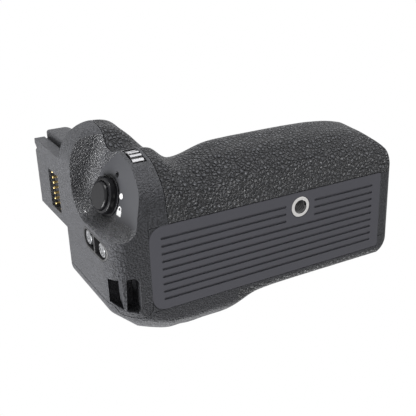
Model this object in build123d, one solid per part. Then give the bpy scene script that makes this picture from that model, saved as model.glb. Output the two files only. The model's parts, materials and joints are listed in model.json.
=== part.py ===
from build123d import *
import math
import os

# Camera battery grip: a second handgrip that screws under a camera body and holds two battery packs.
# The origin is the mouth of the tripod socket, on the underside. +X runs to the battery door,
# +Y to the photographer's side, +Z to the camera body. All sizes are in millimetres.

os.makedirs("parts", exist_ok=True)

# One overrun for every cut
overrun = 6.0

# Body envelope
reach_left = 90.0
reach_right = 52.5
body_height = 50.0
grip_reach = 32.5
lip_reach = 40.0
thumb_reach = 45.5
back_top = 27.0
thumb_roll = 11.0
thumb_roll_height = 15.0
heel_roll = 5.0
left_edge_round = 8.0
right_edge_round = 4.0

# Shell walls and seams
wall = 2.4
floor_wall = 4.2
roof_wall = 2.0
skin = 1.2
seam = 0.3
end_block = 10.0

# Grip front, as shares of the grip reach and of the body height
front_shares = ((0.37, 0.018), (0.634, 0.058), (0.825, 0.17), (0.90, 0.23), (0.975, 0.386), (1.0, 0.47),
                (0.96, 0.59))
front_flat_share = 0.3
front_lip_share = 0.78
front_blend_share = 0.35
knee_share = 0.48
knee_reach_share = 0.93

# Along the body: place, grip reach, lip reach, thumb reach and how full the lower roll is
station_shares = (
    (-1.10, 1.0, 1.0, 0.60, 0.6),
    (-0.95, 1.0, 1.0, 0.78, 0.85),
    (-0.85, 1.0, 1.0, 0.89, 1.0),
    (-0.78, 1.0, 0.99, 0.95, 1.0),
    (-0.71, 1.0, 0.91, 0.99, 1.0),
    (-0.64, 0.92, 0.70, 1.0, 1.0),
    (-0.56, 0.78, 0.50, 1.0, 1.0),
    (-0.48, 0.785, 0.41, 0.985, 0.85),
    (-0.39, 0.87, 0.385, 0.94, 0.40),
    (-0.30, 0.90, 0.38, 0.84, 0.05),
    (-0.18, 0.905, 0.38, 0.795, 0.0),
    (0.0, 0.905, 0.38, 0.79, 0.0),
    (0.20, 0.895, 0.38, 0.79, 0.0),
    (0.36, 0.855, 0.38, 0.79, 0.0),
    (0.46, 0.79, 0.37, 0.79, 0.0),
    (0.53, 0.75, 0.36, 0.79, 0.0),
    (0.60, 0.73, 0.36, 0.79, 0.0),
    (0.70, 0.72, 0.36, 0.79, 0.0),
)
first_station_share = -1.099
last_station_share = 0.66
station_count = 27

# Rounding of the plan at both ends
lip_corner = 15.0
thumb_corner = 30.0
corner_x_share = 0.644
shoulder_x_share = 0.80
shoulder_y_share = 0.958
heel_reach = 35.4
heel_corner = 9.0
heel_run = 60.0
heel_flare = 4.8
right_corner = 15.0
corner_start = 24.15
corner_run = 41.5
slant_share = 0.8

# Base plate on the underside
plate_left = 72.8
plate_right = 45.3
plate_front = 7.0
plate_back = 30.2
plate_thickness = 2.0
plate_corner = 6.0
plate_back_corner = 1.0
groove_count = 9
groove_left = 67.6
groove_right = 40.5
groove_first = -1.6
groove_pitch = 3.38
groove_width = 0.9
groove_depth = 0.5
groove_break_count = 3
groove_break = 7.5

# Tripod socket
socket_bore_radius = 3.175
socket_flange_radius = 4.7
socket_neck_radius = 4.0
socket_length = 8.0
socket_clearance = 0.1

# Control end: plan of its seams
end_front_seam = 64.0
end_lip_seam = 74.0
end_lip_height = 28.0
end_deck_seam = 69.0
end_back_seam = 22.7
seam_shares = ((0.80, 1.25), (0.825, 1.34), (0.855, 1.375), (0.885, 1.365), (0.912, 1.32), (0.961, 1.18),
               (0.983, 1.03), (1.0, 1.0))
deck_front = 32.0
rear_seam = 30.4
rear_rubber_left = 32.5
rear_rubber_right = 47.0
rear_rubber_top = 44.0

# Release dish: a slanted floor with a rim around the release button
dish_x = 79.0
dish_y = 14.6
dish_z = 24.2
dish_normal_shares = (-0.954, -0.271, -0.131)
dish_side_shares = (0.273, -0.962, 0.0)
dish_wall = 1.7
dish_depth = 24.0
dish_taper_degrees = 2.0
dish_floor_round = 5.5
dish_left = 11.7
dish_rise = 16.4
dish_corner = 12.5
dish_waist = 9.0
dish_waist_rise = 13.8
dish_waist_round = 15.0
dish_end_rise = 15.8
dish_far = 50.0
dish_edge_share = 0.9
dish_crease = 12.5
dish_crease_degrees = 12.0
dish_crease_turn = 45.0

# Release button, its lock ring, barrel and switch
barrel_radius = 7.9
barrel_collar_radius = 8.7
barrel_collar = 0.7
barrel_depth = 3.2
barrel_web = 1.0
barrel_tail_radius = 4.9
barrel_tail = 3.4
ring_radius = 7.5
ring_bottom = 0.9
ring_top = 3.5
ring_bore_radius = 6.2
ring_neck_radius = 6.7
ring_neck = 2.0
ring_tab_radius = 1.3
ring_tab_share = 0.6
ring_tab_degrees = 45.0
running_clearance = 0.06
release_radius = 5.9
release_bottom = 2.2
release_top = 4.9
release_crown = 0.9
release_stem_radius = 2.0
release_stem_end = 3.9
release_travel = 0.9
switch_gap = 0.2
release_switch_height = 1.6
release_switch_radius = 4.0

# Two small buttons in their insert on the end face
insert_y = 0.9
insert_z = 15.6
insert_width = 9.2
insert_length = 24.0
insert_wall = 0.8
insert_depth = 3.8
insert_tail = 4.0
insert_post_radius = 1.5
divider = 1.0
small_button_radius = 3.6
small_button_recess = 1.5
small_button_height = 1.4
small_button_spread = 7.4
small_button_travel = 0.8
small_stem_radius = 1.2
button_board_thickness = 1.0
button_board_margin = 2.2
dome_radius = 2.2
dome_height = 0.5

# Strap slot in the lower corner of the control end
strap_depth = 9.0
strap_front = 11.2
strap_back = 28.4
strap_right = 77.8
strap_mouth = 3.6
strap_wall = 1.6
strap_bar_left = 85.4
strap_bar_right = 83.2
strap_bar_tip = 84.2
strap_bar_height = 4.2
strap_middle_share = 0.5
strap_corner_shares = ((0.12, 0.08), (0.0, 0.2), (0.0, 0.9), (0.08, 1.0), (0.28, 0.94))

# Front command dial
front_dial_radius = 8.3
front_dial_width = 5.0
front_dial_x = 68.5
front_dial_y = 24.2
front_dial_z = 20.5
front_dial_teeth = 20
tooth_depth = 0.5
dial_gap = 0.6
dial_axle_radius = 1.25
dial_cheek = 1.2
cheek_share = 0.8
dial_window_bottom = 13.0
dial_window_top = 25.0

# Rear command dial
rear_dial_radius = 8.0
rear_dial_width = 4.5
rear_dial_x = 74.0
rear_dial_y = 26.5
rear_dial_z = 38.2
rear_dial_teeth = 20

# One tooth of a wheel: share of the pitch and how far the outline is sunk there
tooth_shares = ((0.0, 0.0), (0.5, 0.0), (0.55, 1.0), (0.95, 1.0))

# Focus button on the slope behind
focus_x = 54.0
focus_radius = 4.0
focus_gap = 0.3
focus_proud = 0.9
focus_depth = 2.2
focus_stem_radius = 1.2
focus_stem = 2.3
focus_travel = 0.8
slope_z = 37.0
focus_board_length = 20.0
focus_board_width = 9.0
focus_post_radius = 1.2

# Contact tower
tower_right = 69.5
tower_front = 25.5
tower_back = 6.3
tower_height = 37.5
tower_wall = 2.0
tower_step = 2.9
tower_step_left = 83.8
tower_groove = 1.1
tower_corner = 6.0
notch_depth = 2.5
notch_y = 21.5
window_front = 15.7
window_back = 2.2
window_bottom = 6.5
window_top = 20.2
tower_boss_radius = 2.4
tower_boss_height = 9.0
tower_boss_x = 73.3
tower_boss_front = 18.0
tower_boss_back = 2.3

# Contact block and its spring pins
block_length = 10.7
block_margin = 1.4
block_recess = 0.8
pin_radius = 0.55
pin_proud = 2.3
pin_rows = 7
pin_pitch = 2.55
pin_first = -14.8
pin_low = 8.3
pin_high = 16.3
pin_hole_clearance = 0.08
pin_travel = 0.5
pin_stop = 0.6
pin_tip_round = 0.3

# Battery pack and the tray that holds two
battery_length = 51.7
battery_width = 38.7
battery_thickness = 22.7
battery_clearance = 0.2
tray_wall = 0.8
tray_clearance = 0.25
sleeve_wall = 1.2
sleeve_bottom = 8.6
sleeve_middle = 5.95
tray_end_gap = 0.8
cam_space = 3.0
terminal_width = 16.0
terminal_thickness = 1.2
terminal_height = 6.0
blade_count = 5
blade_pitch = 3.6
blade_thickness = 0.8
blade_height = 3.0
blade_reach = 0.8
contact_window_margin = 1.0
contact_base_length = 3.0
contact_height = 10.0
rail_width = 2.4
rail_spread = 13.0
rail_post_radius = 2.4
rail_left_share = 0.6
rail_right_share = 0.65

# Tray cover with its latch
cover_front = 6.5
cover_back = 25.0
cover_wing_front = 17.2
cover_wing_back = 29.0
cover_shoulder = 3.0
cover_wing = 9.0
cover_top = 38.5
cover_round = 2.0
gasket_thickness = 0.8
gasket_width = 1.0
gasket_gap = 0.3
knob_radius = 9.0
knob_gap = 0.3
knob_depth = 3.0
knob_bar_width = 3.0
knob_bar_sink = 1.6
latch_shaft_radius = 2.5
cam_thickness = 2.0
cam_hub_radius = 4.5
cam_reach = 10.6
cam_width = 5.0
cam_gap = 0.5

# Mounting stud and thumbwheel
stud_y = 8.0
stud_radius = 3.175
stud_shank_radius = 3.4
stud_proud = 4.5
stud_clearance = 0.075
wheel_radius = 22.5
wheel_bottom = 40.5
wheel_thickness = 5.5
wheel_teeth = 60
wheel_tooth = 0.6
wheel_window = 30.0
wheel_window_gap = 0.5
cup_radius = 5.0
cup_height = 4.2
stud_foot = 1.1
bush_radius = 6.0

# Top plate, pad and locating pins
opening_left = 65.5
opening_right = 41.0
opening_front = 11.0
opening_back = 22.0
opening_corner = 4.0
flange_thickness = 1.6
flange_width = 1.4
pad_thickness = 0.8
pad_inset = 1.5
pad_hole_margin = 1.2
locating_radius = 1.5
locating_base_radius = 2.0
locating_proud = 3.0
locating_left = 52.0
locating_right = 36.0

# Screws and posts
post_radius = 3.0
post_left = 29.0
post_right = 28.0
post_front = 7.0
post_back = 18.5
screw_radius = 1.0
screw_head_radius = 2.3
screw_head_height = 1.3
screw_length = 8.0
screw_clearance = 0.05
screw_sink = 0.3
screw_gap = 0.1
driver_share = 0.7
floor_screw_length = 4.5

# Main board and ribbon
board_left = 64.0
board_right = 34.0
board_front = 11.0
board_back = 23.0
board_thickness = 1.2
board_rise = 2.6
board_post_radius = 1.5
board_post_inset = 3.0
ribbon_thickness = 0.4
ribbon_width = 10.0
ribbon_landing = 3.0
ribbon_slot_gap = 1.2
ribbon_rise = 12.0

# Places worked out from the sizes above
left = -reach_left
inner_roof = body_height - roof_wall
bay_length = battery_length + battery_clearance + battery_clearance
bay_width = battery_width + battery_clearance + battery_clearance
bay_depth = battery_thickness + battery_clearance + battery_clearance
tray_width = bay_width + tray_wall + tray_wall
tray_height = bay_depth + tray_wall
hole_width = tray_width + tray_clearance + tray_clearance
hole_height = tray_height + tray_clearance + tray_clearance
sleeve_width = hole_width + sleeve_wall + sleeve_wall
sleeve_height = hole_height + sleeve_wall + sleeve_wall
sleeve_top = sleeve_bottom + sleeve_height
tray_bottom = sleeve_bottom + sleeve_wall + tray_clearance
tray_top = tray_bottom + tray_height
tray_right = plate_right
tray_end = tray_right - cam_space
tray_left = tray_end - tray_wall - bay_length - tray_wall - bay_length - tray_wall
sleeve_left = tray_left - tray_end_gap - sleeve_wall
block_face = reach_right - end_block
latch_z = tray_bottom + tray_wall + bay_depth / 2
tower_top = body_height + tower_height
board_bottom = sleeve_top + board_rise
wheel_top = wheel_bottom + wheel_thickness
plate_floor = inner_roof - flange_thickness
floor_screw_z = plate_thickness + screw_gap + screw_head_height


dish_place = Plane(
    origin=(-dish_x, -dish_y, dish_z), x_dir=dish_side_shares, z_dir=dish_normal_shares
).location
slope_lean = math.atan2(knee_reach_share * (thumb_reach - back_top), (1 - knee_share) * body_height)
slope_y = back_top + (body_height - slope_z) * math.tan(slope_lean)
focus_place = Plane(
    origin=(-focus_x, slope_y, slope_z), x_dir=(1, 0, 0), z_dir=(0, math.cos(slope_lean),
                                                                 math.sin(slope_lean))
).location


def save(shape, name):
    """Write one node."""
    export_step(shape, "parts/" + name + ".step")


def block(x0, x1, y0, y1, z0, z1):
    """Box between two corners."""
    return Pos((x0 + x1) / 2, (y0 + y1) / 2, (z0 + z1) / 2) * Box(x1 - x0, y1 - y0, z1 - z0)


def rod(radius, z0, z1, x=0.0, y=0.0):
    """Upright cylinder."""
    return Pos(x, y, (z0 + z1) / 2) * Cylinder(radius, z1 - z0)


def rod_x(radius, x0, x1, y, z):
    """Cylinder along the body."""
    return Pos((x0 + x1) / 2, y, z) * Rot(0, 90, 0) * Cylinder(radius, x1 - x0)


def prism(points, z0, z1, radii=None):
    """Upright prism from a plan outline."""
    line = FilletPolyline(*points, radius=radii, close=True) if radii else Polyline(*points, close=True)
    return Pos(0, 0, z0) * extrude(make_face(line.edges()), z1 - z0)


def gear(radius, depth, count):
    """Round outline with square teeth."""
    points = []
    for i in range(count):
        for along_share, sunk_share in tooth_shares:
            turn = 2 * math.pi * (i + along_share) / count
            reach = radius - depth * sunk_share
            points.append((reach * math.cos(turn), reach * math.sin(turn)))
    return make_face(Polyline(*points, close=True).edges())


def blended(along):
    """Smooth values between the stations, without overshoot."""
    keys = station_shares
    low = max(k for k in range(len(keys) - 1) if keys[k][0] <= along)
    got = [along]
    for column in range(1, 5):
        step = keys[low + 1][0] - keys[low][0]
        t = (along - keys[low][0]) / step
        a, b = keys[low][column], keys[low + 1][column]
        lean_a, lean_b = lean(low, column) * step, lean(low + 1, column) * step
        cube, square = t ** 3, t ** 2
        value = (2 * cube - 3 * square + 1) * a + (cube - 2 * square + t) * lean_a
        got.append(value + (3 * square - 2 * cube) * b + (cube - square) * lean_b)
    return got


def lean(k, column):
    """Slope of one column at station k, by the harmonic mean of its two sides."""
    keys = station_shares
    if k == 0 or k == len(keys) - 1:
        return 0.0
    before, after = keys[k][0] - keys[k - 1][0], keys[k + 1][0] - keys[k][0]
    rise_before = (keys[k][column] - keys[k - 1][column]) / before
    rise_after = (keys[k + 1][column] - keys[k][column]) / after
    if rise_before * rise_after <= 0:
        return 0.0
    weight_a, weight_b = 2 * after + before, after + 2 * before
    return (weight_a + weight_b) / (weight_a / rise_before + weight_b / rise_after)


def section(shares, inset, low, high):
    """Closed cross outline of the body at one station, moved in by the inset."""
    along, grip_share, lip_share, back_share, roll_share = shares
    x = along * reach_left
    grip, lip, back = grip_reach * grip_share, lip_reach * lip_share, thumb_reach * back_share
    roll = heel_roll + (thumb_roll - heel_roll) * roll_share
    roll_z = heel_roll + (thumb_roll_height - heel_roll) * roll_share
    tall = body_height - low - high
    squeeze = (grip - inset - plate_front) / (grip - plate_front)

    def front_point(y, z):
        return Vector(x, -plate_front - (y - plate_front) * squeeze, low + z * tall / body_height)

    front = [front_point(plate_front, 0)]
    for reach_share, rise_share in front_shares:
        rise = (reach_share - front_flat_share) / (1 - front_flat_share)
        reach = max(grip * reach_share, plate_front + (grip - plate_front) * rise)
        front.append(front_point(reach, body_height * rise_share))
    blend = front_blend_share * grip + (1 - front_blend_share) * lip
    front.append(front_point(blend, body_height * front_lip_share))
    front.append(front_point(lip, body_height))
    knee_y = back_top + (back - back_top) * knee_reach_share - inset
    knee_z = knee_share * body_height
    round_z = max(roll_z, low + heel_roll)
    round_y = back - roll
    corner = Vector(x, back_top - inset, low + tall)
    knee = Vector(x, knee_y, knee_z)
    roll_points = [knee, Vector(x, back - inset, round_z + (knee_z - round_z) / 4)]
    for degrees in (15, 40, 65, 90):
        turn = math.radians(degrees)
        y = round_y + (roll - inset) * math.cos(turn)
        roll_points.append(Vector(x, y, round_z - (round_z - low) * math.sin(turn)))
    front_edge = Spline(*front, tangents=[(0, -1, 0), front[-1] - front[-2]])
    top_edge = Line(front[-1], corner)
    slope_edge = Line(corner, knee)
    roll_edge = Spline(*roll_points, tangents=[knee - corner, (0, -1, 0)])
    bottom_edge = Line(roll_points[-1], front[0])
    return Wire([edge.edges()[0] for edge in (front_edge, top_edge, slope_edge, roll_edge, bottom_edge)])


def plan_left(inset, z0, z1):
    """Prism that rounds the plan of the control end."""
    out = reach_right + end_block
    points = (
        (inset - reach_left, inset - lip_reach),
        (out, inset - lip_reach),
        (out, thumb_reach - inset),
        (-corner_x_share * reach_left, thumb_reach - inset),
        (-shoulder_x_share * reach_left, shoulder_y_share * thumb_reach - inset),
        (inset - reach_left, back_top - inset),
    )
    return prism(points, z0, z1, (lip_corner, heel_roll, heel_roll, thumb_corner, thumb_corner / 2,
                                  left_edge_round))


def plan_right(inset, right_end, z0, z1):
    """Prism that rounds the plan of the battery end."""
    out = reach_left + end_block
    far = lip_reach + end_block
    heel = heel_reach - inset
    points = (
        (-out, -far),
        (reach_right - corner_run, -far),
        (right_end, corner_start - slant_share * (reach_right - right_end) - lip_reach + inset),
        (right_end, heel),
        (right_end - heel_run, heel + heel_flare),
        (-out, heel + heel_flare + end_block),
    )
    front_corner, back_corner = right_corner - inset - inset, heel_corner - inset - inset
    return prism(points, z0, z1, (heel_roll, heel_roll, front_corner, back_corner, heel_roll, heel_roll))


def form(inset, low, high, left_round, right_round, right_end):
    """Body form: a loft along the length, trimmed by the rounded plan of each end."""
    step = (last_station_share - first_station_share) / (station_count - 1)
    places = [first_station_share + step * i for i in range(station_count)]
    body = Solid.make_loft([section(blended(place), inset, low, high) for place in places])
    control_end = plan_left(inset, low, body_height - high)
    battery_end = plan_right(inset, right_end, low, body_height - high)
    lower = control_end.faces().sort_by(Axis.Z)[0].edges()
    control_end = fillet(lower.filter_by(lambda edge: edge.center().X < 0), left_round)
    lower = battery_end.faces().sort_by(Axis.Z)[0].edges()
    battery_end = fillet(lower.filter_by(lambda edge: edge.center().X > reach_right / 2), right_round)
    return body & control_end & battery_end


def dish_tool(grow):
    """Solid that hollows the release dish, or its backing when grown by a wall."""
    low = -dish_far
    points = (
        (-dish_left - grow, low),
        (-dish_left - grow, dish_rise + grow),
        (dish_waist, dish_waist_rise + grow),
        (dish_far, dish_end_rise + grow),
        (dish_far, low),
    )
    radii = (skin, dish_corner + grow, dish_waist_round, skin, skin)
    line = FilletPolyline(*points, radius=radii, close=True)
    tool = extrude(make_face(line.edges()), dish_depth, taper=-dish_taper_degrees)
    edge_x, edge_y = dish_far / 2, -dish_far * dish_edge_share
    floor = tool.faces().sort_by(Axis.Z)[0].edges()
    floor = floor.filter_by(lambda edge: edge.center().X < dish_far - skin and edge.center().Y > edge_y)
    tool = fillet(floor, dish_floor_round)
    beyond = Rot(0, 0, dish_crease_turn) * block(dish_crease, dish_crease + 2 * dish_far, -2 * dish_far, 2 * dish_far, low, dish_far)
    fall, turn = math.tan(math.radians(dish_crease_degrees)), math.radians(dish_crease_turn)
    slope = [-fall * math.cos(turn), -fall * math.sin(turn), 1, fall * dish_crease]
    lowered = Matrix([[1, 0, 0, 0], [0, 1, 0, 0], slope, [0, 0, 0, 1]])
    tool = (tool - beyond) + (tool & beyond).solids()[0].transform_geometry(lowered)
    return dish_place * Pos(0, 0, -grow) * tool


def seam_plan(x_edge, y_front, grow):
    """Plan of the control end up to the curved seam behind it, grown by a gap."""
    edge, front = grow - x_edge, -lip_reach - end_block
    out = -reach_left - end_block
    curve = [Vector(left * u, end_back_seam * v + grow) for u, v in seam_shares]
    curve[0] = Vector(grow - plate_left, curve[0].Y)
    points = [Vector(out, front), Vector(edge, front), Vector(edge, y_front + grow)]
    points += [Vector(grow - plate_left, y_front + grow), curve[0]]
    last = Vector(out, curve[-1].Y)
    lines = [Line(p, q) for p, q in zip(points, points[1:])]
    lines += [Spline(*curve), Line(curve[-1], last), Line(last, points[0])]
    return make_face([line.edges()[0] for line in lines])


def end_region(grow):
    """Space of the control end housing: low part, lip part and the deck under the tower."""
    corner_top = strap_depth + strap_wall + grow
    low = Pos(0, 0, -overrun) * extrude(seam_plan(end_front_seam, -plate_front, grow), corner_top + overrun)
    out, front, back = left - end_block, -lip_reach - end_block, end_back_seam + grow
    low += block(out, grow - end_front_seam, front, back, corner_top, end_lip_height + grow)
    high = block(out, grow - end_lip_seam, front, back, end_lip_height + grow, body_height + overrun)
    deck = block(left - end_block, grow - end_deck_seam, -deck_front - grow, end_back_seam,
                 inner_roof - grow, body_height + overrun)
    return low + high + deck


def cover_prism(grow, x0):
    """Space of the tray cover in the battery end."""
    points = (
        (-cover_front - grow, -overrun),
        (-cover_front - grow, cover_shoulder - grow / 2),
        (-cover_wing_front - grow, cover_wing - grow / 2),
        (-cover_wing_front - grow, cover_top + grow),
        (cover_wing_back + grow, cover_top + grow),
        (cover_wing_back + grow, cover_wing - grow / 2),
        (cover_back + grow, cover_shoulder - grow / 2),
        (cover_back + grow, -overrun),
    )
    inner, outer = cover_round - grow, cover_round + grow
    line = FilletPolyline(*points, radius=(skin, inner, outer, outer, outer, outer, inner, skin), close=True)
    side = Plane(origin=(x0, 0, 0), x_dir=(0, 1, 0), z_dir=(1, 0, 0)).location
    return side * extrude(make_face(line.edges()), reach_right + overrun - x0)


def plate_prism(grow, top):
    """Space of the base plate."""
    points = (
        (-plate_left - grow, -plate_front - grow),
        (plate_right + grow, -plate_front - grow),
        (plate_right + grow, plate_back + grow),
        (-plate_left - grow, plate_back + grow),
    )
    return prism(points, -overrun, top, (plate_corner, plate_back_corner, plate_back_corner, plate_corner))


def strap_tool(grow):
    """Hollow for the strap in the lower corner of the control end."""
    side = Plane(origin=(0, 0, 0), x_dir=(1, 0, 0), z_dir=(0, -1, 0)).location
    out = left - end_block
    rise = strap_depth - strap_mouth
    points = (
        (out, -overrun),
        (out, strap_mouth + grow),
        (left, strap_mouth + grow),
        (left + rise / 2, strap_depth + grow),
        (-strap_right + grow, strap_depth + grow),
        (-strap_right + grow, -overrun),
    )
    face = make_face(Polyline(*points, close=True).edges())
    length = Pos(0, reach_left, 0) * (side * extrude(face, reach_left + reach_left))
    step = strap_back - strap_front
    plan = [(out, strap_front - grow)]
    for inward_share, along_share in strap_corner_shares:
        wider = 0 if inward_share else grow
        side = -1 if along_share < strap_middle_share else 1
        plan.append((-strap_right - inward_share * step + wider,
                     strap_front + along_share * step + side * grow))
    plan += [(left + grow, end_back_seam - skin + grow / 2), (out, end_back_seam - skin + grow / 2)]
    return length & prism(plan, -overrun, strap_depth + grow + overrun)


def strap_bar(outer):
    """Bar that the strap goes round, flush with the rounded corner."""
    plan = (
        (-strap_bar_left, strap_front - strap_wall),
        (-strap_bar_right, strap_front - strap_wall),
        (-strap_bar_tip, strap_back + strap_wall),
        (-strap_bar_tip - strap_wall / 2, strap_back + strap_wall),
    )
    return prism(plan, -overrun, strap_bar_height) & outer


def insert_prism(grow, x0, x1):
    """Stadium along the body for the small-button insert."""
    side = Plane(origin=(x0, insert_y, insert_z), x_dir=(0, 1, 0), z_dir=(1, 0, 0)).location
    face = SlotOverall(insert_length + grow + grow, insert_width + grow + grow, rotation=90)
    return side * extrude(face, x1 - x0)


def build_forms():
    """Outer form, skin underside and inner hollow."""
    lip = block(-end_lip_seam, 0, -lip_reach - overrun, 0, end_lip_height, body_height + overrun)
    outer = form(0, 0, 0, left_edge_round, right_edge_round, reach_right) - (dish_tool(0) - lip)
    under = form(skin, skin, 0, left_edge_round - skin, right_edge_round - skin, reach_right - skin)
    hollow = form(wall, floor_wall, roof_wall, left_edge_round - wall, skin, block_face)
    hollow = hollow - dish_tool(dish_wall) - strap_tool(strap_wall)
    return outer, under, hollow


def front_dial_space():
    """Clearance for the front dial and its window."""
    half = front_dial_width / 2 + dial_gap
    x0, x1 = -front_dial_x - half, -front_dial_x + half
    space = rod_x(front_dial_radius + dial_gap, x0, x1, -front_dial_y, front_dial_z)
    return space + block(x0, x1, -lip_reach, -front_dial_y - front_dial_radius / 2, dial_window_bottom,
                         dial_window_top)


def end_housing(outer, hollow):
    """Control end: dish, dial window, button pocket, strap slot and deck."""
    half = front_dial_width / 2 + dial_gap
    low, high = front_dial_z - front_dial_radius * cheek_share, front_dial_z + front_dial_radius * cheek_share
    back = -front_dial_y + thumb_roll / 2
    cheeks = block(-front_dial_x - half - dial_cheek, -front_dial_x - half, -lip_reach, back, low, high)
    cheeks += block(-front_dial_x + half, -front_dial_x + half + dial_cheek, -lip_reach, back, low, high)
    shell = ((outer - hollow) & end_region(0)) + (cheeks & outer)
    shell -= front_dial_space()
    shell -= rod_x(dial_axle_radius + running_clearance / 2, -front_dial_x - half - dial_cheek - overrun,
                   -end_front_seam + overrun, -front_dial_y, front_dial_z)
    shell -= dish_tool(0)
    shell = shell - strap_tool(0) + (strap_bar(outer) & end_region(0))
    shell -= insert_prism(seam / 2, left - overrun, left + insert_depth + insert_tail)
    shell -= dish_place * rod(barrel_radius + seam / 2, -overrun, overrun)
    shell -= dish_place * rod(barrel_collar_radius + seam / 2, 0, overrun)
    slot_left = tower_inner_left() + block_length + tower_wall / 2
    shell -= block(slot_left - ribbon_slot_gap, slot_left + ribbon_slot_gap + ribbon_thickness,
                   ribbon_y0() - ribbon_slot_gap,
                   ribbon_y0() + ribbon_width + ribbon_slot_gap, inner_roof - overrun, body_height + overrun)
    for y in (-tower_boss_front, tower_boss_back):
        shell -= rod(screw_radius + screw_clearance + screw_clearance, inner_roof - overrun,
                     body_height + overrun, -tower_boss_x, y)
    return largest(shell)


def largest(shape):
    """Biggest solid of a cut shape, without the crumbs a cut leaves."""
    return shape.solids().sort_by(SortBy.VOLUME)[-1]


def tower_inner_left():
    """Inner face of the tower wall that the contact window is in."""
    return left + tower_wall


def ribbon_y0():
    """Near edge of the ribbon."""
    return -(window_front - window_back) / 2 - ribbon_width / 2


def rubber_region():
    """Space of the front grip skin."""
    low = block(-end_front_seam, reach_right + overrun, -lip_reach - overrun, -cover_front, -overrun,
                body_height + overrun)
    high = block(-end_lip_seam, reach_right + overrun, -lip_reach - overrun, -cover_front, end_lip_height,
                 body_height + overrun)
    return low + high


def rear_rubber_region():
    """Space of the rear skin."""
    return block(-rear_rubber_left, rear_rubber_right, rear_seam + skin, thumb_reach + overrun, -overrun,
                 rear_rubber_top)


def rear_region(grow):
    """Space of the rear shell, behind the base plate and below the roof."""
    main = block(left - end_block, reach_right + overrun, rear_seam - grow, thumb_reach + overrun,
                 -overrun, inner_roof + grow)
    upper = block(left - end_block, reach_right + overrun, back_top - wall - wall - grow, thumb_reach,
                  cover_top, inner_roof + grow)
    corner = block(plate_right - grow, reach_right + overrun, cover_back - grow, thumb_reach, -overrun,
                   inner_roof + grow)
    side = block(left - end_block, -plate_left, end_back_seam, thumb_reach + overrun, -overrun,
                 inner_roof + grow)
    return main + upper + corner + side


def sleeve_hole(x0, x1):
    """Bore of the chamber that the tray slides in."""
    y0 = sleeve_middle - hole_width / 2
    z0 = sleeve_bottom + sleeve_wall
    return block(x0, x1, y0, y0 + hole_width, z0, z0 + hole_height)


def main_shell(outer, under, hollow):
    """Front wall, floor, battery end and roof rim."""
    shell = (outer - hollow) - end_region(seam) - rear_region(seam)
    shell -= (outer - under) & rubber_region()
    shell -= plate_prism(seam / 2, plate_thickness)
    shell -= cover_prism(seam, plate_right - gasket_thickness - gasket_gap)
    shell -= sleeve_hole(block_face - overrun, reach_right)
    shell -= opening_prism(0, inner_roof - overrun, body_height + overrun)
    shell -= rod(socket_neck_radius + socket_clearance, -overrun, floor_wall + overrun)
    shell -= wheel_window_space()
    for x, y in rail_places():
        shell -= rod(screw_radius + screw_clearance, 0, floor_wall + overrun, x, y)
        shell -= rod(screw_head_radius + screw_clearance, 0, floor_screw_z, x, y)
    return largest(shell)


def rail_places():
    """Floor screws, in pairs along the two rails of the chamber."""
    xs = (-rail_left_share * reach_left, rail_right_share * reach_right)
    return [(x, sleeve_middle + side * rail_spread) for x in xs for side in (-1, 1)]


def wheel_window_space():
    """Window behind the thumbwheel."""
    return block(-wheel_window / 2, wheel_window / 2, stud_y + wheel_radius / 2, thumb_reach + overrun,
                 wheel_bottom - wheel_window_gap, wheel_top + wheel_window_gap)


def rear_shell(outer, under, hollow):
    """Thumb side, with the dial shelves and the focus button posts."""
    shell = ((outer - hollow) & rear_region(0)) - end_region(seam)
    shell -= (outer - under) & rear_rubber_region()
    shell -= cover_prism(seam, plate_right - gasket_thickness - gasket_gap)
    shell -= wheel_window_space()
    half = rear_dial_width / 2 + dial_gap
    x0, x1 = -rear_dial_x - rear_dial_radius * cheek_share, -rear_dial_x + rear_dial_radius * cheek_share
    for z0, z1 in ((rear_dial_z - half - dial_cheek, rear_dial_z - half),
                   (rear_dial_z + half, rear_dial_z + half + dial_cheek)):
        shell += block(x0, x1, rear_dial_y - rear_dial_radius / 2, thumb_reach, z0, z1) & outer
    shell -= rod(rear_dial_radius + dial_gap, rear_dial_z - half, rear_dial_z + half, -rear_dial_x,
                 rear_dial_y)
    shell -= rod(dial_axle_radius + running_clearance / 2, rear_dial_z - half - dial_cheek - skin,
                 rear_dial_z + half + dial_cheek + skin, -rear_dial_x, rear_dial_y)
    for side in (-1, 1):
        post = rod(focus_post_radius, -focus_board_depth(), -skin,
                   side * (focus_board_length / 2 - focus_post_radius - seam), 0)
        shell += (focus_place * post) & outer
    shell -= focus_place * rod(focus_radius + focus_gap, -overrun, overrun)
    return largest(shell)


def focus_board_depth():
    """Depth of the focus switch board under the slope."""
    return focus_depth + focus_stem + focus_travel + switch_gap


def base_plate():
    """Ribbed plate on the underside."""
    span = block(-reach_left, reach_right, -lip_reach, thumb_reach, 0, plate_thickness)
    plate = plate_prism(0, plate_thickness) & span
    plate -= rod(socket_flange_radius + socket_clearance, -overrun, overrun)
    for i in range(groove_count):
        y = groove_first + groove_pitch * i
        spans = [(-groove_left, groove_right)]
        if i < groove_break_count:
            spans = [(-groove_left, -groove_break), (groove_break, groove_right)]
        for x0, x1 in spans:
            slot = SlotOverall(x1 - x0, groove_width)
            plate -= Pos((x0 + x1) / 2, y, -overrun) * extrude(slot, overrun + groove_depth)
    return plate


def tripod_socket():
    """Flanged steel insert with the tripod bore."""
    flange = fillet(rod(socket_flange_radius, 0, plate_thickness).edges().sort_by(Axis.Z)[:1], seam)
    body = flange + rod(socket_neck_radius, plate_thickness, socket_length)
    return body - rod(socket_bore_radius, -overrun, socket_length - plate_thickness)


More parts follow.
